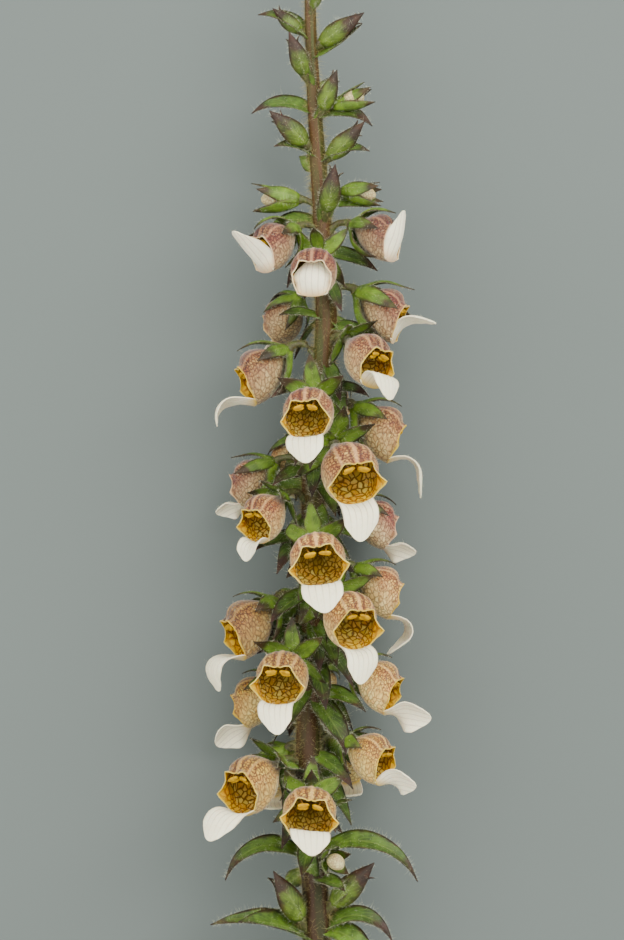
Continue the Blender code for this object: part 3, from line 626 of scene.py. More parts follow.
def petal_outside():
    p = new_paint("petal outside", 0.6, Subsurface_Weight=0.12, Subsurface_Scale=GLOW_DEPTH,
                  Sheen_Weight=0.26, Sheen_Roughness=0.45, Specular_IOR_Level=0.25)
    u, v = p.across_along()
    age, seed, tone = (p.attribute(key) for key in ("age", "seed", "tone"))
    mottle = p.group(MOTTLE, Patch=3.2, Grain=0.3)
    from_lip = p.size(u)
    hood = p.span(from_lip, 5.5, 11.5)
    small = p.group(NET, Across=u, Along=v, Seed=seed, Cell=0.92, Stretch=1.2, Line=0.18)
    large = p.group(NET, Across=u, Along=v, Seed=seed, Cell=1.1, Stretch=1.35, Line=0.17)
    net = p.between(hood, large["Line"], small["Line"])
    light = p.between(hood, large["Cell"], small["Cell"])
    light = p.calc("MULTIPLY_ADD", light, 0.8, -0.1, clamp=True)
    # pairs of colours: of a flower that has just opened, and of an old one
    vein = p.mix(age, (74, 26, 26), (98, 52, 30))
    rib = p.mix(age, (214, 158, 118), (240, 198, 116))
    under = p.mix(light, p.mix(age, (196, 164, 116), (236, 196, 104)),
                  p.mix(age, (242, 218, 160), (255, 240, 150)))
    above = p.mix(light, p.mix(age, (176, 120, 80), (222, 167, 62)),
                  p.mix(age, (230, 184, 122), (255, 229, 96)))
    above = p.lay(above, p.mix(age, (132, 50, 50), (186, 116, 56)), mottle["Patches"],
                  p.span(age, 0.0, 1.0, 0.9, 0.45))
    strength = p.times(net, p.span(hood, 0.0, 1.0, 0.7, 1.0))
    colour = p.lay(p.mix(hood, under, above), vein, strength,
                   p.span(mottle["Grain"], 0.0, 1.0, 0.72, 1.0))
    # ribs along the hood: distance from its top, half width, that of its core, strength
    from_top = p.calc("SUBTRACT", HALF_ROUND, from_lip)
    for stripe, rows in (
        (rib, ((0.0, 0.6, 0.18, 0.6), (3.6, 0.45, 0.135, 0.5), (7.0, 0.3, 0.09, 0.2))),
        (vein, ((1.15, 0.55, 0.12, 0.8), (2.75, 0.55, 0.12, 0.45), (4.5, 0.55, 0.12, 0.4))),
    ):
        for middle, wide, core, amount in rows:
            away = p.size(p.calc("SUBTRACT", from_top, middle))
            colour = p.lay(colour, stripe, p.span(away, wide, core), amount)
    colour = p.lay(colour, (124, 118, 60), p.span(v, 7.0, 1.5), 0.7)
    colour = p.shade(colour, (0.42, 0.38, 0.36), tone)
    rim = p.mix(p.span(age, *OPENED), (206, 168, 128), (204, 166, 24))
    colour = p.lay(colour, rim, p.span(v, MOUTH - 0.45, MOUTH - 0.1), 0.85)
    warm = p.mix(p.span(v, MOUTH + 0.5, MOUTH + 4.0), (236, 210, 154), (250, 240, 206))
    pale = p.lay(warm, (146, 112, 96), p.ripple(u, LIP_LINES, 0.5, 0.13), 0.36)
    colour = p.mix(p.span(v, MOUTH + 0.1, MOUTH + 3.5), colour, pale)
    relief = p.calc("MULTIPLY_ADD", net, -0.6, p.times(mottle["Grain"], 0.5))
    return p.finish(colour, relief, 0.4)


def petal_inside():
    p = new_paint("petal inside", 0.6, Subsurface_Weight=0.1, Subsurface_Scale=GLOW_DEPTH,
                  Specular_IOR_Level=0.12)
    u, v = p.across_along()
    age, seed = p.attribute("age"), p.attribute("seed")
    from_lip = p.size(u)
    opened = p.span(age, *OPENED)
    mottle = p.group(MOTTLE, Patch=2.0, Grain=0.3)
    cells = p.group(NET, Across=u, Along=v, Seed=seed, Cell=1.25, Stretch=1.35, Line=0.18)
    near = p.span(v, MOUTH - 6.5, MOUTH - 1.6)
    pale = p.times(cells["Cell"], p.calc("MAXIMUM", p.span(from_lip, 7.0, 3.0),
                                         p.span(near, 0.0, 1.0, 0.9, 0.3)))
    colour = p.mix(near, (164, 138, 26), (198, 148, 2))
    colour = p.mix(pale, colour, p.mix(near, (204, 186, 90), (228, 194, 48)))
    colour = p.lay(colour, (178, 108, 0), mottle["Patches"], 0.6)
    gold = p.times(p.span(v, MOUTH - 1.6, MOUTH - 0.5), p.span(from_lip, 4.6, 6.4))
    colour = p.lay(colour, (190, 146, 0), gold, 0.85)
    colour = p.lay(colour, p.mix(near, (92, 58, 8), (124, 74, 4)), cells["Line"],
                   p.calc("MULTIPLY_ADD", gold, -0.45, 0.95))
    # painted shade: the inside darkens towards the root of the tube, deep in where little light
    # reaches
    colour = p.lay(colour, (104, 90, 18), p.span(v, 11.0, 4.0), 0.45)
    rim = p.mix(opened, (222, 196, 152), (206, 174, 22))
    colour = p.mix(p.span(v, MOUTH - 0.35, MOUTH - 0.05), colour, rim)
    lip = p.span(v, MOUTH - 0.15, MOUTH + 0.4)
    lines = p.times(p.ripple(u, LIP_LINES, 0.5, 0.14),
                    p.span(v, MOUTH + 11.0, MOUTH + 3.0, 0.15, 0.5))
    lines = p.times(lines, p.between(opened, 1.6, 1.0), clamp=True)
    white = p.lay((253, 244, 208), (242, 226, 176), mottle["Patches"], 0.25)
    white = p.mix(lines, white, p.mix(opened, (122, 84, 78), (150, 132, 96)))
    relief = p.calc("ADD", p.times(cells["Line"], 0.7), p.times(mottle["Grain"], 0.3))
    relief = p.calc("SUBTRACT", relief, p.times(p.times(lip, lines), 2.0))
    return p.finish(p.mix(lip, colour, white), relief, 0.4)


def green_blade(name, light, dark, tip, margin):
    p = new_paint(name, 0.5, Subsurface_Weight=0.08, Subsurface_Scale=GLOW_DEPTH,
                  Specular_IOR_Level=0.3)
    u, v = p.across_along()
    seed = p.attribute("seed")
    mottle = p.group(MOTTLE, Patch=2.0, Grain=0.22)
    marks = p.group(MARKS, Across=u, Along=v, Tip=tip, Seed=seed, Margin=margin)
    colour = p.mix(p.calc("MULTIPLY_ADD", seed, 0.5, p.span(v, 0.0, 0.8, 0.0, 0.5)), light, dark)
    colour = p.lay(colour, [0.66 * c for c in dark], mottle["Patches"], 0.7)
    colour = p.lay(colour, light, marks["Veins"], 0.25)
    colour = p.lay(colour, (116, 134, 58), marks["Midrib"], 0.35)
    purple = p.mix(mottle["Patches"], (60, 26, 27), (36, 15, 18))
    colour = p.lay(colour, purple, marks["Purple"], 0.88)
    relief = p.calc("SUBTRACT", p.times(mottle["Grain"], 0.5), p.times(marks["Veins"], 0.5))
    return p.finish(colour, relief, 0.45)


def stem_skin():
    p = new_paint("stem skin", 0.55, Specular_IOR_Level=0.3)
    u, v = p.across_along()
    mottle = p.group(MOTTLE, Patch=5.0, Grain=0.3)
    drawn_out = p.put("CombineXYZ", {"X": p.times(u, 9.0), "Y": p.times(v, 12.0)}).outputs[0]
    streaks = p.noise(drawn_out, 1.0, 4.0, "2D")["Fac"]
    colour = p.mix(p.span(streaks, 0.38, 0.62), (78, 50, 20), (60, 66, 16))
    colour = p.lay(colour, (84, 58, 22), mottle["Patches"], 0.5)
    colour = p.lay(colour, (48, 34, 18), mottle["Grain"], 0.25)
    colour = p.shade(colour, (0.5, 0.49, 0.47), p.span(v, 0.42, 0.24))  # darker towards its foot
    return p.finish(colour, streaks, 0.5, 0.2)


def pollen_yellow():
    p = new_paint("anther", 0.5, Specular_IOR_Level=0.15)
    mottle = p.group(MOTTLE, Patch=0.9, Grain=0.15)
    colour = p.mix(mottle["Patches"], (156, 118, 0), (200, 162, 0))
    colour = p.lay(colour, (178, 102, 4), mottle["Grain"], 0.35)
    return p.finish(colour, mottle["Grain"], 0.4, 0.08)


def young_petal():
    p = new_paint("young petal", 0.55, Subsurface_Weight=0.1, Subsurface_Scale=GLOW_DEPTH,
                  Specular_IOR_Level=0.3)
    u, v = p.across_along()
    cells = p.group(NET, Across=p.times(u, 17.0), Along=p.times(v, 12.0), Cell=0.9, Stretch=1.2,
                    Line=0.12)
    mottle = p.group(MOTTLE, Patch=2.0, Grain=0.25)
    colour = p.mix(mottle["Patches"], (202, 196, 140), (192, 172, 118))
    colour = p.lay(colour, (130, 98, 68), cells["Line"], 0.7)
    colour = p.mix(p.span(v, 0.35, 0.0), colour, (130, 140, 60))
    return p.finish(colour, cells["Line"], 0.3, sunken=True)


def plain_tissue(name, low, high, roughness):
    p = new_paint(name, roughness)
    mottle = p.group(MOTTLE, Patch=1.5, Grain=0.2)
    return p.finish(p.mix(mottle["Patches"], low, high), mottle["Grain"], 0.3, 0.08)


NET, MOTTLE, MARKS = net_group(), mottle_group(), marks_group()
OUTSIDE, INSIDE = petal_outside(), petal_inside()
SEPAL_GREEN = green_blade("sepal green", (122, 154, 42), (78, 106, 30), 0.66, 0.64)
LEAF_GREEN = green_blade("leaf green", (104, 136, 40), (52, 74, 26), 0.7, 0.66)
SHUT_GREEN = green_blade("young sepal green", (118, 144, 38), (62, 78, 26), 0.56, 0.46)
STEM_SKIN = stem_skin()
ANTHER = pollen_yellow()
FILAMENT = plain_tissue("filament", (150, 108, 24), (116, 80, 14), 0.45)
STYLE = plain_tissue("style", (96, 112, 30), (72, 90, 24), 0.45)
HAIR = plain_tissue("pale hair", (206, 208, 180), (186, 188, 152), 0.45)
STEM_HAIR = plain_tissue("stem hair", (192, 180, 118), (170, 152, 90), 0.45)
STALK_SKIN = plain_tissue("stalk skin", (76, 84, 34), (64, 54, 28), 0.6)
YOUNG = young_petal()
PITH = plain_tissue("pith", (190, 184, 130), (160, 160, 96), 0.7)


# ---------------------------------------------------------------- the bell
SHARES = np.array([0, 0.06, 0.13, 0.21, 0.3, 0.4, 0.5, 0.6, 0.69, 0.77, 0.84, 0.9,
                   0.925, 0.955, 0.98, 1.0])
FLARE_FROM = 0.9
LIP_SHARES = np.array([0.035, 0.09, 0.16, 0.24, 0.33, 0.43, 0.53, 0.63, 0.73, 0.82, 0.9, 0.96, 1.0])
HOOD_ANGLES = [0, 5, 10, 15, 21, 27, 32, 38, 46, 55, 64, 72, 79, 83, 87, 90, 93, 97, 102, 108, 117]
LIP_COLUMNS = 16
ANGLES = np.array([*HOOD_ANGLES, *np.linspace(180 - LIP_ARC, 180 + LIP_ARC, LIP_COLUMNS + 1),
                   *(360 - a for a in reversed(HOOD_ANGLES))], float)
# ribs and furrows along the hood: angle from its top, width, height
HOOD_RELIEF = ((8, 4.5, -0.24), (0, 3.5, 0.1), (38, 5, 0.16), (74, 5, 0.12))
SHARP_EDGE = 62.0


def from_hood(angle):
    """The angle from the hood's top, 0 to 180, on either side of it."""
    return np.abs((angle + 180) % 360 - 180)


def bell_skin(angle, share):
    """Points of the bell's outer face, in the flower's own frame."""
    out, down, half_width, half_height, tilt = smooth_between(SHAPE, share).T
    turn = np.radians(angle)
    side, up = np.sin(turn), np.cos(turn)
    flat = ease((share - 0.45) / 0.5) * (up < 0)
    side = side + flat * (np.sign(side) * np.abs(side) ** 0.8 - side)
    up = up + flat * (-1.02 * np.abs(up) ** 0.66 - up)
    relief = sum(height * hump(from_hood(angle), middle, width)
                 for middle, width, height in HOOD_RELIEF)
    relief = relief * ease((share - 0.12) / 0.5)
    return ring_points(side * (half_width + relief), up * (half_height + relief), out, down,
                       np.radians(tilt))


def edge_reach(angle, lobes):
    """The mouth's edge, as its way out from the bell's last ring."""
    around = from_hood(angle)
    table = np.array(RIM, float)
    out = np.interp(around, table[:, 0], table[:, 1])
    flare = np.radians(np.interp(around, table[:, 0], table[:, 2]))[..., None]
    out = out * (1 + (lobes - 1) * ease((around - 74) / 12) * ease((126 - around) / 12))
    forward, top = map(np.array, tube_axes(SHAPE[-1][-1]))
    turn = np.radians(angle)[..., None]
    away = np.sin(turn) * np.array([1.0, 0, 0]) + np.cos(turn) * top
    return (forward * np.cos(flare) + away * np.sin(flare)) * out[..., None]


def lip_line(unit):
    """The lower lip's middle line and its upper direction."""
    rise, roll = map(math.radians, unit.lip)
    place = bell_skin(np.array([180.0]), np.array([1.0]))[0]
    line, upper = [], []
    for step in range(LIP_STEPS + 1):
        share = step / LIP_STEPS
        angle = rise - roll * float(ease((share - 0.08 - unit.late) / 0.66))
        line.append(place)
        upper.append((0, math.cos(angle), -math.sin(angle)))
        place = place + np.array([0, math.sin(angle), math.cos(angle)]) * (
            LIP_LENGTH * unit.lip_scale / LIP_STEPS
        )
    return np.array(line), np.array(upper)


def lip_outline(across):
    """How far the lip reaches at a place across it: it is pointed in the middle."""
    return 1 - 0.36 * np.abs(across) ** 2.2


def bell_points(angle, share, lip_share, unit):
    """Every point of a corolla's outer face, in the flower's own frame."""
    points = bell_skin(angle, share)
    flare = np.clip((share - FLARE_FROM) / (1 - FLARE_FROM), 0, 1) ** 1.4
    points += edge_reach(angle, unit.lobes) * flare[:, None]
    on_lip = lip_share > 0
    across = (angle[on_lip] - 180) / LIP_ARC
    along = lip_share[on_lip] * lip_outline(across)
    middle, rising = (read_line(along * LIP_STEPS, np.arange(LIP_STEPS + 1), line)
                      for line in lip_line(unit))
    # the lip starts as wide as its part of the mouth and narrows towards its end
    corner = abs(bell_skin(np.array([180 - LIP_ARC]), np.array([1.0]))[0, 0])
    half = unit.lip_width * LIP_HALF_WIDTH * (1 - 0.34 * along**2.2)
    half = half - 0.22 * abs(unit.trough) * ease(along / 0.5)
    half = corner + (half - corner) * ease(along / 0.6)
    # its sides stand up by the mouth and droop further out, and folds run along it
    lift = (1.1 * (1 - ease(along / 0.45)) - 0.75 * ease((along - 0.2) / 0.6)) * across**2
    lift = lift + unit.trough * across**2 * ease(along / 0.35) * (1 - 0.5 * along**3)
    folds = 0.07 * np.cos(across * 17.0) - 0.12 * hump(across, 0, 0.05)
    lift = lift + folds * ease(along / 0.3)
    twist = math.radians(unit.twist) * ease(along / 0.5)
    free = middle + rising * (lift * np.cos(twist) + half * across * np.sin(twist))[:, None]
    free[:, 0] += lift * np.sin(twist) - half * across * np.cos(twist) + unit.swing * along**1.5
    share_free = ease(along / 0.3)[:, None]
    points[on_lip] = points[on_lip] * (1 - share_free) + free * share_free
    return points


def grid_places(obj, columns, rows):
    """The column and the row of each point of a grid sheet."""
    co = corners_of(obj)
    return [np.rint((co[:, k] + 1) / 2 * n).astype(int) for k, n in ((0, columns), (1, rows))]


def bell_master():
    """A sheet rolled into a tube and closed at its root, with the lip still on its lower edge."""
    rows = len(SHARES) - 1 + len(LIP_SHARES)
    columns = len(ANGLES) - 1
    obj = grid_sheet("bell_master", columns, rows)
    column, row = grid_places(obj, columns, rows)
    with edit_mode():
        bpy.ops.mesh.select_all(action="DESELECT")
    for face in obj.data.polygons:
        ids = list(face.vertices)
        beside_lip = np.abs(ANGLES[column[ids]] - 180).max() > LIP_ARC + 0.01
        face.select = bool(row[ids].max() > len(SHARES) - 1 and beside_lip)
    with edit_mode():
        bpy.ops.mesh.delete(type="FACE")
    column, row = grid_places(obj, columns, rows)
    # the sheet's points keep their own place on it as a UV map
    layer = obj.data.uv_layers.active
    layer.name = "along_and_across"
    full_share = np.concatenate([SHARES, np.ones(len(LIP_SHARES))])
    full_lip = np.concatenate([np.zeros(len(SHARES)), LIP_SHARES])
    across = np.clip((ANGLES[column] - 180) / LIP_ARC, -1, 1)
    u = (ANGLES[column] - 180) / 180 * HALF_ROUND
    v = full_share[row] * MOUTH + full_lip[row] * LIP_LENGTH * lip_outline(across)
    layer.data.foreach_set("uv", np.stack([u, v], -1)[loop_corners(obj.data)].ravel())
    turn = np.radians(ANGLES[column])
    set_corners(obj.data, np.stack([np.sin(turn), np.cos(turn), row / 10.0], -1))
    pick(obj)
    with edit_mode():
        bpy.ops.mesh.select_all(action="SELECT")
        bpy.ops.mesh.remove_doubles(threshold=0.0001)
        bpy.ops.mesh.flip_normals()
    close_ring(obj, corners_of(obj)[:, 2] < 0.01)
    co = corners_of(obj)
    row = np.rint(co[:, 2] * 10).astype(int)
    return obj, np.degrees(np.arctan2(co[:, 0], co[:, 1])) % 360, full_share[row], full_lip[row]


def lift_off_ground(obj):
    """Presses a piece flat where it would reach below the surface it lies on."""
    co = corners_of(obj)
    co[:, 2] = np.maximum(co[:, 2], 0.0)
    set_corners(obj.data, co)


def add_bell(name, unit, age, seed):
    obj = new_piece(name, BELL_MASTER.data.copy(), (OUTSIDE, INSIDE))
    points = bell_points(BELL_ANGLE, BELL_SHARE, BELL_LIP, unit)
    set_corners(obj.data, to_row(turned(unit_place(unit), points)))
    mark(obj.data, age=age, seed=seed, tone=unit.tone)
    add_wall(obj, PETAL * MM, -1, material_offset=1, material_offset_rim=1)
    lift_off_ground(obj)
    obj.data.shade_smooth()
    obj.data.set_sharp_from_angle(angle=math.radians(SHARP_EDGE))
    return obj


# ---------------------------------------------------------------- masters for what repeats
def rolled_master(name, columns, rows):
    """A closed tube with its angle and its way along, 0 to 1, at every point."""
    obj = grid_sheet(name, columns, rows)
    co = corners_of(obj)
    turn = co[:, 0] * math.pi
    set_corners(obj.data, np.stack([np.sin(turn), np.cos(turn), (co[:, 1] + 1) / 2], -1))
    with edit_mode():
        bpy.ops.mesh.select_all(action="SELECT")
        bpy.ops.mesh.remove_doubles(threshold=0.0001)
    for end in (0.0, 1.0):
        close_ring(obj, np.abs(corners_of(obj)[:, 2] - end) < 0.001)
    with edit_mode():
        bpy.ops.mesh.select_all(action="SELECT")
        bpy.ops.mesh.normals_make_consistent(inside=False)
    master = take_master(obj)
    master.angle = np.arctan2(master.points[:, 0], master.points[:, 1])
    master.along = master.points[:, 2]
    return master


def spike_master(bends):
    """A thin three-sided spike one unit long, closed at its root, with a ring to bend it at."""
    pick()
    bpy.ops.mesh.primitive_cone_add(vertices=3, radius1=1, radius2=0, depth=1, location=(0, 0, 0.5))
    obj = bpy.context.object
    bpy.ops.object.transform_apply(location=True)
    if bends:
        with edit_mode():
            bpy.ops.mesh.select_all(action="SELECT")
            bpy.ops.mesh.bisect(plane_co=(0, 0, 0.5), plane_no=(0, 0, 1))
    return take_master(obj)


def blade_master(columns, rows):
    """A flat blade one unit thick: across from -1 to 1, along from 0 to 1, face up or down."""
    obj = grid_sheet("blade_master", columns, rows)
    add_wall(obj, 1.0, 0.0)
    master = take_master(obj)
    master.across = master.points[:, 0]
    master.along = (master.points[:, 1] + 1) / 2
    master.up = np.sign(master.points[:, 2]) * 0.5
    master.corner_uv = np.stack([master.across, master.along], -1)[master.corner]
    return master


def along_path(path, at):
    """Place and direction at shares of a path's stations."""
    path = np.asarray(path, float)
    steps = np.linspace(0, 1, len(path))
    return read_line(at, steps, path), unit_length(read_line(at, steps, np.gradient(path, axis=0)))


def tube_points(master, path, radii, up):
    """A tube's points round a path, with its radius at evenly spaced shares of it."""
    place, ahead = along_path(path, master.along)
    up = np.asarray(up, float)
    top = unit_length(up - ahead * (ahead @ up)[:, None])
    radius = np.interp(master.along, np.linspace(0, 1, len(radii)), radii)[:, None]
    turn = master.angle[:, None]
    return place + (top * np.cos(turn) + np.cross(top, ahead) * np.sin(turn)) * radius


def blade_width(share):
    """A lance's outline: narrow root, widest at a third, a sharp tip."""
    return np.sin(math.pi * (0.12 + 0.88 * np.clip(share, 0, 1)) ** 0.8)


def blade_points(master, path, side, half_width, thick=0.42, cup=0.3, wave=0.0, phase=0.0):
    """A cupped blade with a keel and wavy margins, thinner at its sides and its tip."""
    place, ahead = along_path(path, master.along)
    normal = unit_length(np.cross(np.asarray(side, float), ahead))
    half = half_width * np.maximum(blade_width(master.along), 0.035)
    x, root_first = master.across, 1 - master.along
    lift = cup * half * (x * x - 0.35)
    lift += wave * np.abs(x) ** 2 * np.sin(master.along * 15 + phase + x) * root_first
    lift = lift - 0.16 * hump(x, 0, 0.14) * root_first
    lift = lift + master.up * thick * (1 - 0.55 * x * x) * (1 - 0.5 * master.along)
    return place + np.cross(ahead, normal) * (half * x)[:, None] + normal * lift[:, None]


# ---------------------------------------------------------------- paths of the green parts
BODY_SHARE = 0.62  # where along its tube the ellipsoid that stands for a bell has its middle
BODY_ROOM = (1.2, 1.3)  # how much wider and higher than the bell it is
BODY_HALF_LENGTH = 7.5
LIP_BALL_SHARES = (0.3, 0.75)
LIP_BALL_RADIUS = 3.6
BLADE_CLEARANCE = 1.1  # the least height of a blade's middle line above the surface
ROOT_DEPTH = 0.9  # how deep a blade's root sits in the stem
BRACT_BELOW = 6.5  # how far below a flower of full size its bract and stalk leave the stem
BUD_BRACT_BELOW = 2.2  # the same for a bud, which has a short reach
SHORT_REACH = 4.0
# calyces that are spread this much open wider from this height down, over this length
WIDE_CALYX, AGEING_FROM, AGEING_OVER = 50, 205, 40


def bell_bodies(units):
    """Each open bell as an ellipsoid and its lip as two balls, for blades to bend clear of."""
    out, down, half_width, half_height, _ = smooth_between(SHAPE, BODY_SHARE)[0]
    room = (half_width + BODY_ROOM[0], half_height + BODY_ROOM[1], BODY_HALF_LENGTH, 1)
    body = (
        Matrix.Translation((0, -down, out))
        @ Matrix.Rotation(math.radians(TUBE_TILT - 2), 4, "X")
        @ Matrix.Diagonal(room)
    )
    balls = []
    for unit in units:
        line, _ = lip_line(unit)
        balls.append(unit_place(unit) @ body)
        for share in LIP_BALL_SHARES:
            middle = Matrix.Translation(line[round(share * LIP_STEPS)])
            balls.append(unit_place(unit) @ middle @ Matrix.Scale(LIP_BALL_RADIUS, 4))
    return [(ball, ball.inverted()) for ball in balls]


def bent_clear(path, bodies):
    """A blade's path moved out of the bells and lips round it, and up from the surface."""
    clear = path[:1]
    for point in path[1:]:
        for ball, inverse in bodies * 3:
            local = inverse @ point
            if local.length < 1:
                point = ball @ (local / max(local.length, 1e-6))
        point.z = max(point.z, BLADE_CLEARANCE - AXIS_HEIGHT)
        clear.append(point)
    smooth = np.array(clear)
    for _ in range(3):
        smooth[1:-1] = (smooth[:-2] + 2 * smooth[1:-1] + smooth[2:]) / 4
    return smooth


def walk(place, start, away, length, angles):
    """A path of equal steps that turns from start towards away, by each angle in degrees."""
    path = [place.copy()]
    for angle in np.radians(angles):
        place = place + (start * math.cos(angle) + away * math.sin(angle)) * (length / len(angles))
        path.append(place.copy())
    return path


def arc_path(root, start, away, length, bend, steps=14):
    """Stations of a blade that leaves root along start and bends towards away."""
    away = (away - start * away.dot(start)).normalized()
    return walk(root, start, away, length, [bend * (k + 0.5) / steps for k in range(steps)])


def bract_root(unit):
    """Where the bract and the stalk leave the stem."""
    below = BUD_BRACT_BELOW
    if unit.reach > SHORT_REACH:
        below = BRACT_BELOW * unit.size * math.cos(math.radians(unit.nod))
    return unit.height - below + unit.bract_up


def from_stem(height, azimuth, length, rise, bend):
    """The path of a blade that leaves the stem, and the way across it."""
    root = stem_point(height) + outward(azimuth) * (stem_radius(height) - ROOT_DEPTH)
    path = arc_path(root, heading(azimuth, rise), Vector((0, 1, 0)), length, bend)
    across = Matrix.Rotation(math.radians(azimuth), 3, "Y") @ Vector((-1, 0, 0))
    lean = math.radians(FACE_LEAN) * math.sin(math.radians(azimuth))
    return bent_clear(path, BODIES), Matrix.Rotation(lean, 3, outward(azimuth)) @ across


def calyx_axes(unit):
    """Seat of the corolla, the calyx's direction, its top and the direction across it."""
    place = unit_frame(unit)
    ahead, top, across = (place.to_3x3() @ Vector(way) for way in (*tube_axes(), (1, 0, 0)))
    seat = place @ (Vector((0, -0.2, 0)) * unit.size) - ahead * GAP
    return seat, ahead, top, across


def round_calyx(top, across, turn):
    """At an angle round a calyx, the way out of it and the way along its edge."""
    return (top * math.cos(turn) + across * math.sin(turn),
            across * math.cos(turn) - top * math.sin(turn))


def stalk_points(unit):
    """The flower stalk, which widens into a shallow cup under the corolla."""
    seat, ahead, top, _ = calyx_axes(unit)
    root = stem_point(bract_root(unit) - unit.bract_up)
    neck = seat - ahead * (1.7 * unit.size)
    before = neck - ahead * (0.45 * (neck - root).length)
    middle = root * 0.25 + before * 0.5 + neck * 0.25
    brim = seat + ahead * 0.55
    rows = [(0, *root), (1, *middle), (2, *neck), (3, *seat), (3.35, *brim)]
    path = smooth_between(rows, np.linspace(0, 3.35, 30))
    shares = [(0, 0.95), (0.3, 0.8), (0.55, 0.9 * unit.size), (0.72, 1.15 * unit.size),
              (0.88, 1.5 * unit.size), (1.0, 1.3 * unit.size)]
    return tube_points(STALK, path, smooth_between(shares, np.linspace(0, 1, 30))[:, 0], top)


def sepal_paths(unit):
    """Five broad blades: wide open over a flower that faces up, along the tube of the others."""
    seat, ahead, top, across = calyx_axes(unit)
    old = 0
    if unit.spread > WIDE_CALYX:
        old = min(max((AGEING_FROM - unit.height) / AGEING_OVER, 0), 1)
    facing = float(ease((math.cos(math.radians(unit.azimuth)) - 0.35) / 0.45))
    for turn in SEPAL_TURNS:
        turn -= 18 * facing * math.sin(math.radians(turn))
        upper = 14 * max(math.cos(math.radians(turn)), 0) * old * facing
        spread = unit.spread - 14 * (1 - facing) + (8 + 16 * facing) * old + upper
        spread += rng.uniform(-12, 12)
        away, side = round_calyx(top, across, math.radians(turn))
        start = ahead * math.cos(math.radians(spread)) + away * math.sin(math.radians(spread))
        root = seat + away * (1.1 * unit.size)
        bend = (-0.6 + 0.5 * old * facing) * spread
        length = SEPAL_LENGTH * unit.size * unit.blade * (1 - 0.1 * old) * rng.uniform(0.92, 1.1)
        yield bent_clear(arc_path(root, start, away, length, bend), BODIES), side


def shut_sepal_paths(unit, steps=16):
    """The five blades that close over a bud: a broad one in front, the others behind it."""
    seat, ahead, top, across = calyx_axes(unit)
    front = math.atan2(across.z, top.z) + math.radians(rng.uniform(-16, 16))
    share = (np.arange(steps) + 0.5) / steps
    for k in range(SEPALS):
        away, side = round_calyx(top, across, front + 2 * math.pi * k / SEPALS)
        spread = rng.uniform(19, 25)
        hook = rng.uniform(50, 90) if k in (2, 4) else rng.uniform(0, 20)
        length = SEPAL_LENGTH * unit.size * unit.blade
        length *= 1.22 if k == 0 else rng.uniform(0.86, 1.16)
        angles = spread * (1 - 1.75 * ease(share / 0.7)) + hook * ease((share - 0.72) / 0.28)
        path = walk(seat + away * (0.9 * unit.size), ahead, away, length, angles)
        yield bent_clear(path, []), side, 1.12 if k == 0 else 0.92


def core_points(unit):
    """The young corolla hidden in a shut calyx, which closes the view between its tips."""
    seat, ahead, top, _ = calyx_axes(unit)
    share = np.linspace(0.05, 0.8, 12)
    path = [seat + ahead * (SEPAL_LENGTH * unit.size * s) for s in share]
    radii = np.interp(share, [0, 0.12, 0.32, 0.52, 0.68, 0.8], [0.8, 1.7, 2.3, 2.2, 1.5, 0.3])
    return tube_points(STALK, path, radii * unit.size, top)


def tip_units():
    """The small buds of the growing tip, each smaller and closer than the one before."""
    for i in range(TIP_BUDS):
        share = i / (TIP_BUDS - 1)
        height = TIP_START + (TIP_END - TIP_START) * share**0.85
        yield Unit(height, 20 + GOLDEN_TURN * i, 0.52 - 0.34 * share, nod=-45 - 35 * share,
                   reach=2.6 - 1.4 * share)


# ---------------------------------------------------------------- making the pieces
PLANT_SEED, HAIR_SEED = 11, 23
STEM_FULLNESS = 1.1  # the stem's skin stands this much further out than its line says
BUD_BLADE_WIDTH = 1.2  # against the calyx blades of an open flower
# of bracts and small leaves: half width against the length, and thickness
BRACT_FORM = (0.19, 0.5)
SMALL_LEAF_FORM = (0.17, 0.45)
# a flower at this height has just opened, and one so much further down is old
NEWEST, OLD_BY = 213, 125
BELL_MASTER, BELL_ANGLE, BELL_SHARE, BELL_LIP = bell_master()
STALK = rolled_master("stalk_master", 10, 12)
STEM = rolled_master("stem_master", 24, 90)
HAIR_SHAPE = spike_master(bends=True)
SPIKE_SHAPE = spike_master(bends=False)
THREAD = rolled_master("thread_master", 6, 8)
CLUB = rolled_master("club_master", 24, 18)
SEPAL = blade_master(6, 12)
LEAF = blade_master(8, 18)
BODIES = bell_bodies(FLOWERS)
rng = np.random.default_rng(PLANT_SEED)
ALL_SHUT = (*SHUT_BUDS, *tip_units())
rims = {}  # the blades of each kind, for the hairs along their margins


def keep(obj, slot, *nodes):
    """Fixes a finished piece to the plant, and hides the solids that it stands for."""
    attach(obj, "root")
    if nodes:
        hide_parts(*nodes)
    return obj


def keep_green(name, master, places, material, **values):
    """A piece of the leafy stem."""
    return keep(lay_copies(name, master, places, material, **values), "foliage", "leafy_stem")


def keep_blades(name, master, material, blades):
    """A piece of many blades, each with a value of its own for the shade of its green."""
    places, seeds = [], []
    for points in blades:
        places.append(points)
        seeds.append(rng.uniform())
    rims[name] = (master, places)
    return keep_green(name, master, places, material, seed=seeds)


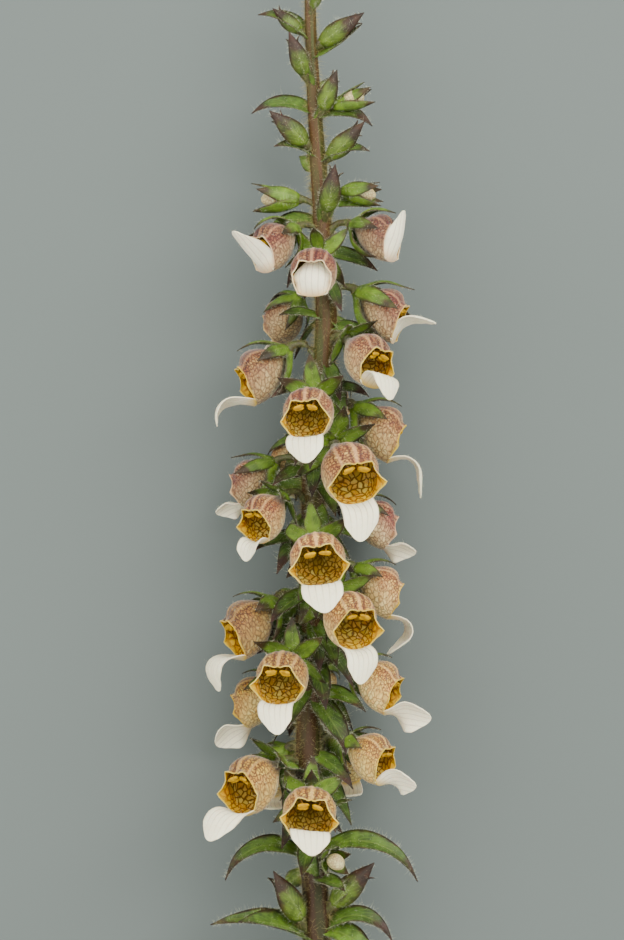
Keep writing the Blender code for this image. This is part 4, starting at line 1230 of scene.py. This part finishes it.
def make_stem():
    heights = np.linspace(0, STEM_LINE[-1][0], 180)
    line = smooth_between(STEM_LINE, heights)
    path = np.stack([line[:, 0], heights, np.zeros(len(heights))], -1)
    points = tube_points(STEM, path, line[:, 1] * STEM_FULLNESS, (0, 0, -1))
    middle, _ = along_path(path, STEM.along)
    # low ribs that wind round the stem, and slight swellings along it
    ridge = 1 + 0.045 * np.cos(5 * STEM.angle + 6 * STEM.along) + 0.02 * np.cos(11 * STEM.angle)
    ridge = ridge + 0.03 * np.sin(STEM.along * 70) * np.sin(STEM.along * 23)
    stem = keep_green("stem", STEM, [middle + (points - middle) * ridge[:, None]], STEM_SKIN)
    stem.data.materials.append(PITH)
    for face in stem.data.polygons:
        if len(face.vertices) > 4 and face.center.y < 0:  # the cut end
            face.material_index = 1
    return stem


def calyx_blades():
    for unit in (*FLOWERS, *BUDS):
        for path, side in sepal_paths(unit):
            width = SEPAL_HALF_WIDTH * unit.size * rng.uniform(0.85, 1.05)
            width *= BUD_BLADE_WIDTH if unit in BUDS else 1.0
            yield blade_points(SEPAL, path, side, width, cup=rng.uniform(0.15, 0.4))


def shut_blades():
    for unit in ALL_SHUT:
        for path, side, broad in shut_sepal_paths(unit):
            width = SHUT_HALF_WIDTH * unit.size * broad * rng.uniform(0.95, 1.08)
            yield blade_points(SEPAL, path, side, width, 0.34, rng.uniform(0.4, 0.6))


def bract_blades():
    rows = [(bract_root(unit) - 1.0, unit.azimuth, *unit.bract, *BRACT_FORM)
            for unit in (*FLOWERS, *BUDS, *SHUT_BUDS)]
    rows += [(*row, *SMALL_LEAF_FORM) for row in SMALL_LEAVES]
    for height, azimuth, length, rise, bend, slim, thick in rows:
        path, side = from_stem(height, azimuth, length, rise, bend)
        yield blade_points(LEAF, path, side, slim * length, thick, rng.uniform(0.2, 0.45), 0.12,
                           rng.uniform(0, 6))


def leaf_blades():
    for height, azimuth, length, half_width, rise, bend in LEAVES:
        path, side = from_stem(height, azimuth, length, rise, bend)
        yield blade_points(LEAF, path, side, half_width, 0.55, 0.3, 0.2, rng.uniform(0, 6))


def make_green_parts():
    stem = make_stem()
    stalks = [stalk_points(u) for u in (*FLOWERS, *BUDS, *ALL_SHUT)]
    stalks = keep_green("flower_stalks", STALK, stalks, STALK_SKIN)
    sepals = keep_blades("sepals", SEPAL, SEPAL_GREEN, calyx_blades())
    shut = keep_blades("shut_calyces", SEPAL, SHUT_GREEN, shut_blades())
    keep_green("shut_bud_cores", STALK, [core_points(u) for u in ALL_SHUT], YOUNG)
    bracts = keep_blades("bracts", LEAF, LEAF_GREEN, bract_blades())
    leaves = keep_blades("leaves", LEAF, LEAF_GREEN, leaf_blades())
    return stem, stalks, sepals, shut, bracts, leaves


def make_bells():
    bells = []
    for i, unit in enumerate(FLOWERS, 1):
        age = (NEWEST - unit.height) / OLD_BY - unit.fresh + rng.uniform(-0.1, 0.1)
        bell = add_bell(f"bell_{i:02d}", unit, min(max(age, 0), 1), rng.uniform())
        bells.append(keep(bell, "petal", f"corolla_{i:02d}"))
    bpy.data.objects.remove(BELL_MASTER)
    return bells


def make_young_bells():
    s = np.linspace(0, 1, 24)
    narrow = smooth_between(((0, 1.0), (0.3, 0.72), (0.6, 0.6), (0.78, 0.5), (0.9, 0.36),
                             (0.97, 0.2), (1.0, 0.04)), s)[:, 0]
    narrow = np.interp(CLUB.along, s, narrow)[:, None]
    share = CLUB.along * 0.97
    full = bell_skin(np.degrees(CLUB.angle) % 360, share)
    out, down = smooth_between(SHAPE, share)[:, :2].T
    middle = np.stack([np.zeros(len(out)), -down, out], -1)
    points = middle + (full - middle) * narrow
    for i, unit in enumerate(BUDS, 1):
        places = [turned(unit_place(unit, YOUNG_SCALE), points)]
        obj = lay_copies(f"young_bell_{i:02d}", CLUB, places, YOUNG)
        keep(obj, "young_petal", f"bud_corolla_{i:02d}")


# ---------------------------------------------------------------- stamens
# each pair's share along the tube, depth below its top wall, way to the side and half length
ANTHER_PAIRS = ((1.0, 1.75, 1.7, 1.45), (0.93, 2.95, 1.75, 1.35))
ANTHER_SLOPE = 14  # degrees that an anther falls towards its outer end
ANTHER_TILT = math.radians(26) + 0.35  # how far its face looks down
ANTHER_HALF_HEIGHT = 0.58
ANTHER_HALF_DEPTH = 0.52
CURLED_IN = -50.0  # a lip that rolls in further than this hides the stamens


def anther_master():
    """A plump grain two units long, with the groove that it opens along."""
    pick()
    bpy.ops.mesh.primitive_uv_sphere_add(segments=14, ring_count=9, radius=1.0)
    obj = bpy.context.object
    co = np.roll(corners_of(obj), 1, axis=1)
    groove = 0.42 * hump(np.arctan2(co[:, 1], co[:, 2]), 0, 0.35) * (1 - co[:, 0] ** 2)
    waist = 0.22 * hump(co[:, 0], 0, 0.22)
    co[:, 1:] *= ((1 - groove) * (1 - waist))[:, None]
    set_corners(obj.data, co)
    return take_master(obj)


def inside_place(share, depth, x):
    """A place inside the bell: how far below its top wall, and how far to the side."""
    out, down, _, half_height, tilt = smooth_between(SHAPE, share)[0]
    return ring_points(x, half_height - depth, out, down, math.radians(tilt))


def make_thread(stations, radii, up):
    """A thread's points along three stations inside the bell."""
    rows = [(k, *place) for k, place in enumerate(stations)]
    path = smooth_between(rows, np.linspace(0, len(rows) - 1, 12))
    return tube_points(THREAD, path, radii, up)


def add_stamens(name, unit):
    place = unit_place(unit)
    grains, threads = [], []
    for share, depth, x, half_length in ANTHER_PAIRS:
        for side in (-1, 1):
            centre = inside_place(share, depth + rng.uniform(-0.2, 0.2), side * x)
            slope = math.radians(ANTHER_SLOPE + rng.uniform(-8, 8))
            long = np.array([side * math.cos(slope), -math.sin(slope), 0.15])
            long /= np.linalg.norm(long)
            front = np.array([0, -math.sin(ANTHER_TILT), math.cos(ANTHER_TILT)])
            front -= long * (front @ long)
            front /= np.linalg.norm(front)
            up = np.cross(front, long)
            shape = np.stack([long * half_length, up * ANTHER_HALF_HEIGHT,
                              front * ANTHER_HALF_DEPTH])
            grains.append(turned(place, GRAIN.points @ shape + centre))
            low = inside_place(0.28, 3.0, side * 1.0)
            bend = inside_place(0.66, 1.9, side * 2.9)
            thread = make_thread((low, bend, centre), [0.26, 0.22, 0.18], (0, 0.3, 1))
            threads.append(turned(place, thread))
    stations = [inside_place(*at) for at in ((0.15, 1.5, 0), (0.5, 2.0, 0.1), (0.88, 1.3, 0.0))]
    style = turned(place, make_thread(stations, [0.42, 0.3, 0.26, 0.34], (1, 0, 0)))
    anthers = lay_copies(name, GRAIN, grains, ANTHER)
    rest = (lay_copies(name + "_filaments", THREAD, threads, FILAMENT),
            lay_copies(name + "_style", THREAD, [style], STYLE))
    pick(anthers)
    for obj in rest:
        obj.select_set(True)
    bpy.ops.object.join()
    return anthers


# ---------------------------------------------------------------- hairs
HAIR_ROOT = 0.08  # how deep a hair's root sits in its piece
HAIR_BEND = 0.3  # how much hairs bend by chance, against their length
HAIR_CLEARANCE = 0.02  # above the surface
BELL_HAIRS = (1000, 350)  # on a bell in front, and on one at the back


def surface_spots(obj, count, share_of=None):
    """Places spread evenly over a piece, in plant millimetres, with the way out of it there."""
    mesh = obj.data
    mesh.calc_loop_triangles()
    ids = np.empty(len(mesh.loop_triangles) * 3, int)
    mesh.loop_triangles.foreach_get("vertices", ids)
    co = (corners_of(obj) / MM - PLANT_PLACE)[ids.reshape(-1, 3)]
    way = np.cross(co[:, 1] - co[:, 0], co[:, 2] - co[:, 0])
    area = np.linalg.norm(way, axis=1)
    weight = area
    if share_of:
        weight = area * share_of(way / area[:, None].clip(1e-9))
    chosen = hair_rng.choice(len(co), count, p=weight / weight.sum())
    a, b = np.sqrt(hair_rng.random(count))[:, None], hair_rng.random(count)[:, None]
    spots = co[chosen, 0] * (1 - a) + co[chosen, 1] * a * (1 - b) + co[chosen, 2] * a * b
    return spots, way[chosen] / area[chosen][:, None].clip(1e-9)


def many_spots(parts):
    """Spots over several pieces together: each part is a piece and its number of hairs."""
    found = [surface_spots(obj, count) for obj, count in parts]
    return [np.concatenate(rows) for rows in zip(*found)]


def margin_spots(kind, per_blade):
    """Places along both margins of every blade of a kind, with the way out across it."""
    master, blades = rims[kind]
    spots, ways = [], []
    for side in (-1, 1):
        edge = np.flatnonzero(master.across == side)
        edge = edge[np.argsort(master.along[edge] + 0.001 * master.up[edge])].reshape(-1, 2)
        inner = np.flatnonzero(np.abs(master.across - side * 0.5) < 0.2)
        order = np.unique(master.along[edge[:, 0]])
        rows = [inner[np.abs(master.along[inner] - a) < 1e-6] for a in order]
        for points in blades:
            at = 0.04 + 0.94 * hair_rng.random(per_blade // 2)
            spot = read_line(at, order, points[edge].mean(1))
            base = read_line(at, order, np.array([points[r].mean(0) for r in rows]))
            spots.append(spot)
            ways.append(spot - base)
    ways = np.concatenate(ways)
    return np.concatenate(spots), ways / np.linalg.norm(ways, axis=1, keepdims=True).clip(1e-6)


def add_hairs(name, roots, ways, low, high, width, droop=0.0, scatter=0.45,
              shape=SPIKE_SHAPE, skin=HAIR):
    """A piece of fine hairs: each leaves its root outward, turned and bent a little by chance."""
    count = len(roots)
    length = hair_rng.uniform(low, high, count)[:, None]
    ways = unit_length(ways + hair_rng.normal(0, scatter, (count, 3)))
    bend = hair_rng.normal(0, HAIR_BEND, (count, 3)) + np.array([0, -droop, 0])
    side = unit_length(np.cross(ways, hair_rng.normal(0, 1, (count, 3))))
    over = np.cross(ways, side)
    x, y, s = (shape.points[None, :, k, None] for k in range(3))
    middle = (roots - ways * HAIR_ROOT)[:, None] + (ways * length)[:, None] * s
    middle = middle + (bend * length)[:, None] * s**2
    points = middle + (side[:, None] * x + over[:, None] * y) * width
    points[..., 2] = np.maximum(points[..., 2], HAIR_CLEARANCE - AXIS_HEIGHT)
    keep(lay_copies(name, shape, points, skin), "foliage")


def off_the_ends(ways):
    """No hairs on the cut end, and fewer along the top of the stem, where they are rubbed off."""
    return (np.abs(ways[:, 1]) < 0.7) * (1 - 0.88 * np.clip(ways[:, 2], 0, 1) ** 0.7)


def grow_hairs(green, bells):
    stem, stalks, sepals, shut, bracts, leaves = green
    # after the places: shortest, longest, half width and, on stems, droop
    add_hairs("long_stem_hairs", *surface_spots(stem, 12500, off_the_ends), 1.0, 2.4, 0.03, 0.2,
              shape=HAIR_SHAPE, skin=STEM_HAIR)
    add_hairs("short_stem_hairs", *surface_spots(stem, 27000, off_the_ends), 0.4, 1.2, 0.02, 0.2,
              skin=STEM_HAIR)
    add_hairs("stalk_hairs", *surface_spots(stalks, 12000), 0.5, 1.5, 0.024, 0.1, skin=STEM_HAIR)
    spots = many_spots(((sepals, 9000), (shut, 5000), (bracts, 8000), (leaves, 2500)))
    add_hairs("leaf_hairs", *spots, 0.3, 0.9, 0.02)
    # the margins: name, kind of blade, hairs per blade, shortest and longest
    for name, kind, per_blade, low, high in (("sepals_fringe", "sepals", 50, 0.5, 1.2),
                                             ("shut_fringe", "shut_calyces", 64, 0.5, 1.2),
                                             ("bracts_fringe", "bracts", 90, 0.6, 1.4),
                                             ("leaves_fringe", "leaves", 260, 0.6, 1.5)):
        add_hairs(name, *margin_spots(kind, per_blade), low, high, 0.026, scatter=0.3)
    spots = many_spots([(bell, BELL_HAIRS[i >= len(NEAR_FLOWERS)])
                        for i, bell in enumerate(bells)])
    add_hairs("bell_hairs", *spots, 0.3, 0.9, 0.022)


leafy_pieces = make_green_parts()
open_bells = make_bells()
make_young_bells()
GRAIN = anther_master()
for i, unit in enumerate(FLOWERS, 1):
    if unit.lip[1] > CURLED_IN:
        keep(add_stamens(f"stamens_{i:02d}", unit), "petal")
hair_rng = np.random.default_rng(HAIR_SEED)
grow_hairs(leafy_pieces, open_bells)


# ---------------------------------------------------------------- floor, light and camera
FLOOR_SIZE = 6.0
FLOOR_DROP = 0.0002  # the floor stays this far under what lies on it
ROOM_LIGHT = 1.3
LENS = 150.0
VIEW_CENTRE = (-0.92, 153.1, 0.0)
VIEW_HEIGHT = 216.2
# name, place, size, power and the point that it shines at
LIGHTS = (
    ("key", (0.42, 0.5, 0.64), 1.0, 13.5, (0, 0.05, 0.015)),
    ("fill", (-0.4, 0.15, 0.5), 0.8, 3.6, (0, 0, 0.015)),
)


def add_to_scene(name, data, place):
    obj = bpy.data.objects.new(name, data)
    bpy.context.scene.collection.objects.link(obj)
    obj.location = place
    return obj


def make_floor():
    pick()
    bpy.ops.mesh.primitive_plane_add(size=FLOOR_SIZE, location=(0, 0, -FLOOR_DROP))
    floor = bpy.context.object
    floor.name = "floor"
    p = new_paint("pale floor", 0.9)
    mottle = p.group(MOTTLE, Patch=60.0, Grain=1.5)
    colour = p.lay((96, 104, 99), (90, 98, 93), mottle["Patches"], 0.12)
    p.tree.links.new(colour, p.shader.inputs["Base Color"])
    floor.data.materials.append(p.material)


def make_studio():
    make_floor()
    world = bpy.data.worlds.new("soft room")
    world.use_nodes = True
    background = world.node_tree.nodes["Background"]
    background.inputs["Color"].default_value = (1, 1, 1, 1)
    background.inputs["Strength"].default_value = ROOM_LIGHT
    bpy.context.scene.world = world
    for name, place, size, power, aim in LIGHTS:
        light = bpy.data.lights.new(name, "AREA")
        light.shape = "DISK"
        light.size = size
        light.energy = power
        obj = add_to_scene(name, light, place)
        obj.rotation_euler = (Vector(aim) - Vector(place)).to_track_quat("-Z", "Y").to_euler()
    camera = bpy.data.cameras.new("camera")
    camera.lens = LENS
    camera.clip_start, camera.clip_end = 0.05, 20.0
    distance = VIEW_HEIGHT * MM * camera.lens / camera.sensor_width
    place = Vector(to_row(VIEW_CENTRE)) + Vector((0, 0, distance))
    bpy.context.scene.camera = add_to_scene("camera", camera, place)


make_studio()
